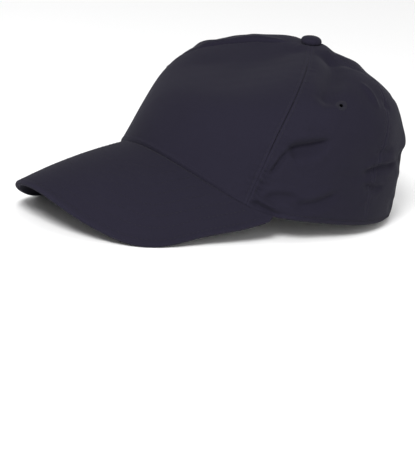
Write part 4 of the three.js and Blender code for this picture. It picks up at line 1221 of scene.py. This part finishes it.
# --------------------------------------------------------- tapes and buckram
def seam_tape(name, seam, h0, depth, node, half=6.3):
    t0 = float(t_at(float(seam(0.02)), h0))
    T = np.linspace(t0, 0.945, 150)
    path = [(x, 0.12 * math.cos(x / half * PI)) for x in np.linspace(-half, half, 13)]
    sec = ribbon_section(path, 0.5)
    ph0 = seam(T)
    P0 = crown(ph0, T)
    secs, uvs, lines = [], [], [[], []]
    run = 0.0
    nrm = []
    for i, (t, ph, P) in enumerate(zip(T, ph0, P0)):
        r = math.hypot(P[0], P[1] - APEX_Y)
        w = min(1.0, r * 0.55 / half)
        phs = ph + sec[:, 0] * w / r
        tt = np.full(len(phs), t)
        secs.append(skin(phs, tt, depth + sec[:, 1]))
        if i:
            run += float(np.linalg.norm(P - P0[i - 1]))
        uvs.append(np.stack([sec[:, 0], np.full(len(sec), run)], -1))
        for k, o in enumerate((-4.9, 4.9)):
            lines[k].append(skin(ph + o * w / r, t, depth + 0.3))
        nrm.append(-crown_normal(ph, t))
    ob, V, F = build_ring(name, secs, "tape", uvs, node)
    declare(ob, F[:0], V, (2 * half, run))
    nrm = np.array(nrm)
    return [run_of(np.array(l), nrm, 3.3, start=4) for l in lines]


tape_runs = []
tape_runs += seam_tape("front_left_tape_cloth", front_seam, 4.2, 2.3, "front_left_seam_tape")
tape_runs += seam_tape("front_right_tape_cloth", lambda t: -front_seam(t), 4.2, 2.3, "front_right_seam_tape")
tape_runs += seam_tape("side_left_tape_cloth", rear_seam, 3.0, 1.62, "side_left_seam_tape")
tape_runs += seam_tape("side_right_tape_cloth", lambda t: -rear_seam(t), 3.0, 1.62, "side_right_seam_tape")
tape_runs += seam_tape("rear_centre_tape_cloth", lambda t: PI + 0 * t, ARCH_H + BIND_W + 1, 1.62, "rear_centre_seam_tape")
stitches("tape_stitching", tape_runs)

ws = np.linspace(0, 1, 110)
hs = np.linspace(0, 1, 90)
T = 0.022 + (0.93 - 0.022) * hs
a, b = -front_seam(T), front_seam(T)
ph = a[None] + 0.008 + (b - a - 0.016)[None] * ws[:, None]
tt = np.broadcast_to(T[None], ph.shape)
base = crown(ph, tt)
V = skin(ph, tt, 1.15).reshape(-1, 3)
F = quads(*ph.shape)
rr = np.hypot(base[..., 0], base[..., 1] - APEX_Y)
UV = np.stack([ph * rr, arc_of(ph, tt)], -1).reshape(-1, 2)
VV, FF, UU, WW = thicken(V, F, vertex_normals(V, F), 0.5, UV)
ob = build("front_panel_stiffening", VV, FF, "buckram", UU, WW, replaces="front_panel_buckram")
declare(ob, F, V, (float(((b - a) * rr.max(0)).max()), float(arc_of(0.0, 0.93) - arc_of(0.0, 0.022))))


# ------------------------------------------------------------------- eyelets
def eyelet(name):
    p0, t0 = math.radians(EYELETS[name][0]), EYELETS[name][1]
    n0 = crown_normal(p0, t0)
    e1 = unit(crown(p0 + 1e-3, t0) - crown(p0 - 1e-3, t0))
    e2 = np.cross(n0, e1)
    prof = np.array([(3.95, -0.10), (3.75, 0.22), (3.3, 0.52), (2.7, 0.66), (2.1, 0.55), (1.6, 0.20), (1.32, -0.25),
                     (1.3, -0.75), (1.5, -1.2), (2.1, -1.55), (2.8, -1.68), (3.4, -1.52), (3.8, -1.2), (3.7, -0.85),
                     (2.6, -0.7), (2.6, -0.25)])
    threads = 46
    th = np.arange(threads * 6) * 2 * PI / (threads * 6)
    rings = []
    gx = np.linalg.norm(crown(p0 + 1e-3, t0) - crown(p0 - 1e-3, t0)) / 2e-3
    gy = np.linalg.norm(crown(p0, t0 + 1e-3) - crown(p0, t0 - 1e-3)) / 2e-3
    for k, a in enumerate(th):
        f = math.cos(a * threads)
        jit = 0.10 * math.sin(a * 7.3 + 2) + 0.08 * math.sin(17 * a + 1)
        r = prof[:, 0] + np.where(prof[:, 0] > 3.2, jit, 0) + 0.02 * f
        y = prof[:, 1] * np.where(prof[:, 1] > 0, 0.55, 1.0) + np.where(prof[:, 1] > -0.2, 1, -1) * (0.06 * f - 0.02)
        x1, x2 = r * math.cos(a), r * math.sin(a)
        ph, tt = p0 + x1 / gx, t0 + x2 / gy
        rings.append(skin(ph, tt, 0) + n0 * y[:, None])
    S = np.array(rings)
    n, m = S.shape[:2]
    i, j = np.meshgrid(np.arange(n), np.arange(m), indexing="ij")
    idx = lambda i_, j_: (i_ % n) * m + (j_ % m)
    F = np.stack([idx(i, j), idx(i, j + 1), idx(i + 1, j + 1), idx(i + 1, j)], -1).reshape(-1, 4)
    V = S.reshape(-1, 3)
    c = V.mean(0)
    A_, B_, C_, D_ = (V[F[:, k]] - c for k in range(4))
    if (np.cross(A_, B_) * C_).sum() + (np.cross(A_, C_) * D_).sum() < 0:
        F = F[:, ::-1]
    UV = np.stack([np.repeat(th * 3, m), np.tile(np.arange(m) * 0.5, n)], -1)
    build(name + "_embroidery", V, F, "thread", UV, replaces=name)


for k in EYELETS:
    eyelet(k)


# -------------------------------------------------------------------- button
def on_top(P):
    """Lathe frame (y up) tilted towards the front, on the apex."""
    a = math.radians(BUTTON_TILT)
    x, y, z = P[..., 0], P[..., 1], P[..., 2]
    # up is +z here
    return np.stack([x, y * math.cos(a) - z * math.sin(a) + APEX_Y, y * math.sin(a) + z * math.cos(a) + CROWN_H + BUTTON_LIFT], -1)


prof = np.array([(5.2, -0.05), (5.9, 0.02), (6.5, 0.4), (6.86, 1.0), (7.0, 1.7), (6.93, 2.4), (6.66, 3.1), (6.2, 3.75),
                 (5.5, 4.3), (4.6, 4.72), (3.5, 5.02), (2.3, 5.2), (1.1, 5.28), (0.35, 5.3)])
th = np.arange(144) * 2 * PI / 144
R_, Z_ = prof[:, 0], prof[:, 1]
low = np.exp(-((Z_ - 0.2) / 1.5) ** 2)
gather = 1 + (0.014 * np.cos(13 * th)[:, None] + 0.01 * np.cos(22 * th + 1)[:, None]) * low[None]
sag = 0.05 * np.cos(3 * th + 0.5)[:, None] * (R_ / 7)[None]
P = np.stack([R_[None] * gather * np.cos(th)[:, None], R_[None] * gather * np.sin(th)[:, None], Z_[None] + sag], -1)
n, m = P.shape[:2]
i, j = np.meshgrid(np.arange(n), np.arange(m - 1), indexing="ij")
idx = lambda i_, j_: (i_ % n) * m + j_
F = np.stack([idx(i, j), idx(i + 1, j), idx(i + 1, j + 1), idx(i, j + 1)], -1).reshape(-1, 4)
V = on_top(P).reshape(-1, 3)
tip = len(V)
ringi = np.array([idx(k, m - 1) for k in range(n)])
V = np.concatenate([V, on_top(np.array([[0, 0, 5.31]]))])
# the crown of the dome: quads from pairs of rim points to the tip
tipF = np.array([[ringi[k], ringi[(k + 1) % n], ringi[(k + 2) % n], tip] for k in range(0, n, 2)])
F = np.concatenate([F, tipF])
UV = np.concatenate([P[..., :2].reshape(-1, 2), [[0, 0]]])
w = np.concatenate([np.tile(0.7 * np.exp(-(((Z_ - 2.6) / 1.6) ** 2)), n), [0]])
VV, FF, UU, WW = thicken(V, F, vertex_normals(V, F), 0.6, UV, w)
ob = build("button_cloth", VV, FF, "twill", UU, WW, replaces="button_cover")
declare(ob, F, V, (19.0, 19.0))


# ------------------------------------------------------------ rear closure
def strap_strip(name, s0, s1, depth_at, z, mat, slot, nodes, r0=0.0, r1=0.0, thick=None, n=150, m=21, free=True, nub=None):
    """A cloth strip along the rim, with rounded long edges; r0, r1: corner radii at its ends."""
    S = np.linspace(s0, s1, n)
    for r, end, dr in ((r0, s0, 1), (r1, s1, -1)):
        if r:
            S = np.concatenate([S, end + dr * r * np.array([0.012, 0.03, 0.06, 0.12, 0.2, 0.3, 0.45])])
    S = np.unique(S)
    inset = np.zeros(len(S))
    for r, end in ((r0, s0), (r1, s1)):
        if r:
            d = np.abs(S - end)
            inset = np.maximum(inset, np.where(d < r, r - np.sqrt(np.maximum(r * r - (r - d) ** 2, 0)), 0))
    lo, hi = z[0] + inset, z[1] - inset
    k = (1 - np.cos(np.linspace(0, PI, m))) / 2
    Z = lo[:, None] + (hi - lo)[:, None] * k[None]
    SS = np.broadcast_to(S[:, None], Z.shape)
    dep = np.stack([depth_at(x) for x in S])
    e = np.minimum(np.minimum(Z - lo[:, None], hi[:, None] - Z), np.minimum(SS - s0, s1 - SS) if free else 99)
    roundk = np.sqrt(np.clip(1 - (1 - np.clip(e / 0.4, 0, 1)) ** 2, 0, 1))
    groove = 0.07 * np.exp(-(((e - 1.7) / 0.35) ** 2))
    mid = dep.mean(1)[:, None]
    half = (dep[:, 1] - dep[:, 0])[:, None] / 2
    puff = 0.03 * np.sin(SS * 0.5) * np.cos(Z * 0.6)
    out_d = mid - half * (0.35 + 0.65 * roundk) + groove + puff
    in_d = mid + half * (0.35 + 0.65 * roundk) - groove + puff
    ph = phi_at(SS)
    tt = t_at(ph, Z)
    follow = smooth(np.abs(SS), 35.5, 43)
    so = standoff(ph, tt) * follow
    base, N = crown(ph, tt), crown_normal(ph, tt)
    A_ = base + N * (so - out_d)[..., None]
    B_ = base + N * (so - in_d)[..., None]
    nn, mm_ = Z.shape
    V = np.concatenate([A_.reshape(-1, 3), B_.reshape(-1, 3)])
    Fo = quads(nn, mm_)
    nv = nn * mm_
    ed = np.concatenate([Fo[:, [q, (q + 1) % 4]] for q in range(4)])
    key = np.sort(ed, 1)
    _, inv, cnt = np.unique(key[:, 0] * nv + key[:, 1], return_inverse=True, return_counts=True)
    rim_e = ed[cnt[inv] == 1]
    walls = np.stack([rim_e[:, 1], rim_e[:, 0], rim_e[:, 0] + nv, rim_e[:, 1] + nv], 1)
    nrm = vertex_normals(A_.reshape(-1, 3), Fo)
    if (nrm * N.reshape(-1, 3)).sum() < 0:
        Fo, walls = Fo[:, ::-1], walls[:, ::-1]
    F = np.concatenate([Fo, Fo[:, ::-1] + nv, walls])
    UV = np.stack([SS, Z], -1).reshape(-1, 2)
    wear = 0.6 * np.exp(-((e / 0.7) ** 2)).reshape(-1)
    return V, F, np.concatenate([UV, UV]), np.concatenate([wear, wear]), Fo, A_.reshape(-1, 3)


def edge_runs(s0, s1, z, depth_out, depth_in, sides=(1, 1), ends=(False, False), r=0.0):
    """Stitch rows 1.7 mm inside a strip's edges, on its outer and inner faces."""
    res = []
    i = 1.7
    for zz in (z[0] + i, z[1] - i):
        S = np.linspace(s0 + (i if ends[0] else 0.5) + (r * 0.6 if ends[0] else 0), s1 - (i if ends[1] else 0.5) - (r * 0.6 if ends[1] else 0), 200)
        ph = phi_at(S)
        tt = t_at(ph, zz + 0 * S)
        so = standoff(ph, tt) * smooth(np.abs(S), 35.5, 43)
        b, N = crown(ph, tt), crown_normal(ph, tt)
        do = np.array([depth_out(x) for x in S])
        di = np.array([depth_in(x) for x in S])
        if sides[0]:
            res.append(run_of(b + N * (so - do)[:, None], N))
        if sides[1]:
            res.append(run_of(b + N * (so - di)[:, None], -N))
    for flag, s in zip(ends, (s0 + i, s1 - i)):
        if not flag:
            continue
        Zs = np.linspace(z[0] + i + r * 0.5, z[1] - i - r * 0.5, 60)
        ph = phi_at(s + 0 * Zs)
        tt = t_at(ph, Zs)
        b, N = crown(ph, tt), crown_normal(ph, tt)
        if sides[0]:
            res.append(run_of(b - N * depth_out(s), N))
        if sides[1]:
            res.append(run_of(b - N * depth_in(s), -N))
    return res


def strap_depth(s):
    return np.array([2.0, 2.9])


def tab_depth(s):
    k = float(smooth(s, 25.2, 35.5))
    d = 5.8 + (2.0 - 5.8) * k
    return np.array([d, d + 0.9])


def loose(V, F, UV, wear, name, mat, nodes):
    return build(name, V, F, mat, UV, wear, body=None, replaces=nodes)


V, F, UV, w, Fo, Ao = strap_strip("", -51, 24, strap_depth, STRAP_Z, "strap", "strap", (), r1=5)
strap = loose(V, F, UV, w, "closure_strap_cloth", "strap", ("closure_strap", "closure_strap_sewn_end"))
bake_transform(strap)
declare(strap, Fo, Ao, (20.0, 75.0))
V, F, UV, w, Fo, Ao = strap_strip("", -16, 51, tab_depth, STRAP_Z, "strap", "strap", (), r0=5)
tab = loose(V, F, UV, w, "closure_tab_cloth", "strap", ("closure_tab", "closure_tab_sewn_end"))
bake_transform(tab)
declare(tab, Fo, Ao, (20.0, 67.0))

# stitching on the straps follows their shape, at the same depths
r_strap = edge_runs(-50, 24, STRAP_Z, lambda s: 1.99, lambda s: 2.91, ends=(False, True), r=5, sides=(1, 1))
r_tab = edge_runs(-16, 50, STRAP_Z, lambda s: tab_depth(s)[0] - 0.01, lambda s: tab_depth(s)[1] + 0.01, ends=(True, False), r=5)
st = stitches("closure_strap_stitching", r_strap, body=None, rise=0.10, radius=0.17)
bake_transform(st)
st = stitches("closure_tab_stitching", r_tab, body=None, rise=0.10, radius=0.17)
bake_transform(st)

PAD_Z = (STRAP_Z[0] + 1.6, STRAP_Z[1] - 1.6)


def pad(name, s0, s1, dep, mat, slot, node, body, r0, r1, pattern, inner):
    """A touch-fastener pad whose face carries rows of hooks or uneven pile."""
    V, F, UV, w, Fo, Ao = strap_strip("", s0, s1, lambda s: np.array(dep), PAD_Z, mat, slot, (), r0=r0, r1=r1, n=150, m=81)
    half = len(V) // 2
    n = vertex_normals(V, F)
    k = slice(half, None) if inner else slice(0, half)
    x, z = UV[k, 0], UV[k, 1]
    e = np.minimum(np.minimum(x - s0, s1 - x), np.minimum(z - PAD_Z[0], PAD_Z[1] - z))
    field = smooth(e, 1.0, 1.8)
    if pattern == "hooks":
        bumps = np.maximum(np.cos(x * 2 * PI / 1.3) * np.cos(z * 2 * PI / 1.3), 0) ** 1.5
        V[k] += n[k] * ((0.20 * bumps - 0.16) * field)[:, None]
    else:
        fluff = 0.5 * np.sin(x * 3.9 + 2 * np.sin(z * 1.7)) * np.cos(z * 4.3 + x) + 0.5 * np.sin(z * 6.1 - x * 5.3)
        V[k] += n[k] * ((0.10 * fluff - 0.08) * field)[:, None]
    ob = build(name, V, F, mat, UV, w, body=body, replaces=node)
    declare(ob, Fo, Ao, (PAD_Z[1] - PAD_Z[0], s1 - s0))
    return ob


pad("closure_hook_tape", -12, 22, (3.2, 4.2), "hook", "hook_pad", "closure_hook_pad", "strap", 0, 3.5, "hooks", True)
pad("closure_loop_tape", -14, 23, (4.5, 5.5), "loop", "loop_pad", "closure_loop_pad", "tab", 3.5, 0, "pile", False)

# --------------------------------------------------------------------- label
V, F, UV, w, Fo, Ao = strap_strip("", 58, 80, lambda s: np.array([4.5, 4.8]), (SWEAT_H - 14, SWEAT_H + 9), "label", "label", (), n=60)
ob = build("care_label_cloth", V, F, "label", UV, w, replaces="care_label")
declare(ob, Fo, Ao, (22.0, 23.0))
Sx = np.linspace(58.8, 79.2, 80)
ph = phi_at(Sx)
tt = t_at(ph, SWEAT_H - 2.6 + 0 * Sx)
stitches("care_label_stitching", [run_of(skin(ph, tt, 4.86), -crown_normal(ph, tt), 2.6, 0.9)], mat="label_thread",
         length=1.9, radius=0.16)

# ------------------------------------------------- pieces carried over from CAD
for node, mat in (("button_shell", "metal"), ("button_post", "metal"), ("button_back_washer", "metal")):
    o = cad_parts[node]
    o.data.materials.clear()
    o.data.materials.append(MAT[mat])

# ------------------------------------------------------ floor, light, camera
scene = bpy.context.scene
me = bpy.data.meshes.new("floor")
g = 4.0
me.from_pydata([(-g, -g, 0), (g, -g, 0), (g, g, 0), (-g, g, 0)], [], [(0, 1, 2, 3)])
floor = bpy.data.objects.new("floor", me)
scene.collection.objects.link(floor)
fm, nt, fb = new_material("floor_paper")
fb.inputs["Base Color"].default_value = (0.93, 0.93, 0.93, 1)
fb.inputs["Roughness"].default_value = 0.9
me.materials.append(fm)

world = bpy.data.worlds.new("studio")
scene.world = world
world.use_nodes = True
bg = world.node_tree.nodes["Background"]
bg.inputs[0].default_value = (1.0, 1.0, 1.0, 1)
bg.inputs[1].default_value = 0.58


def area(name, place, at, size, power, colour=(1, 1, 1)):
    l = bpy.data.lights.new(name, "AREA")
    l.shape, l.size, l.energy, l.color = "DISK", size, power, colour
    o = bpy.data.objects.new(name, l)
    scene.collection.objects.link(o)
    o.location = place
    o.rotation_mode = "QUATERNION"
    o.rotation_quaternion = (Vector(at) - Vector(place)).to_track_quat("-Z", "Y")
    return o


area("key_light", (0.85, -1.02, 1.0), (0, 0, 0.06), 0.5, 31)
area("side_light", (1.35, -0.6, 0.55), (0, 0, 0.06), 0.9, 5)
area("top_light", (0.3, -0.1, 1.6), (0, 0, 0.08), 1.0, 4)
area("back_light", (-0.4, 1.5, 0.6), (0, 0, 0.06), 1.0, 2.5)

az, el, ro = (math.radians(v) for v in (CAM_AZ, CAM_EL, CAM_ROLL))
back = np.array([math.sin(az) * math.cos(el), -math.cos(az) * math.cos(el), math.sin(el)])
right = np.array([math.cos(az), math.sin(az), 0.0])
up = np.cross(back, right)
ir = math.cos(ro) * right + math.sin(ro) * up
iu = -math.sin(ro) * right + math.cos(ro) * up
eye = np.array([0, 0, 60.0]) + back * CAM_DIST - ir * CAM_OX - iu * CAM_OY
cam_data = bpy.data.cameras.new("camera")
cam_data.sensor_width = 36.0
cam_data.sensor_fit = "AUTO"
cam_data.lens = CAM_PPM * CAM_DIST * 36.0 / 450.0
cam_data.clip_start, cam_data.clip_end = 0.05, 30.0
cam = bpy.data.objects.new("camera", cam_data)
scene.collection.objects.link(cam)
X, Y, Z = (row_dir(v) for v in (ir, iu, back))
Mx = Matrix.Identity(4)
for r_ in range(3):
    Mx[r_][0], Mx[r_][1], Mx[r_][2] = float(X[r_]), float(Y[r_]), float(Z[r_])
Mx.translation = Vector([float(v) for v in row(eye)])
cam.matrix_world = Mx
scene.camera = cam

scene.view_settings.view_transform = "Standard"
scene.view_settings.look = "None"
scene.view_settings.exposure = 0.0
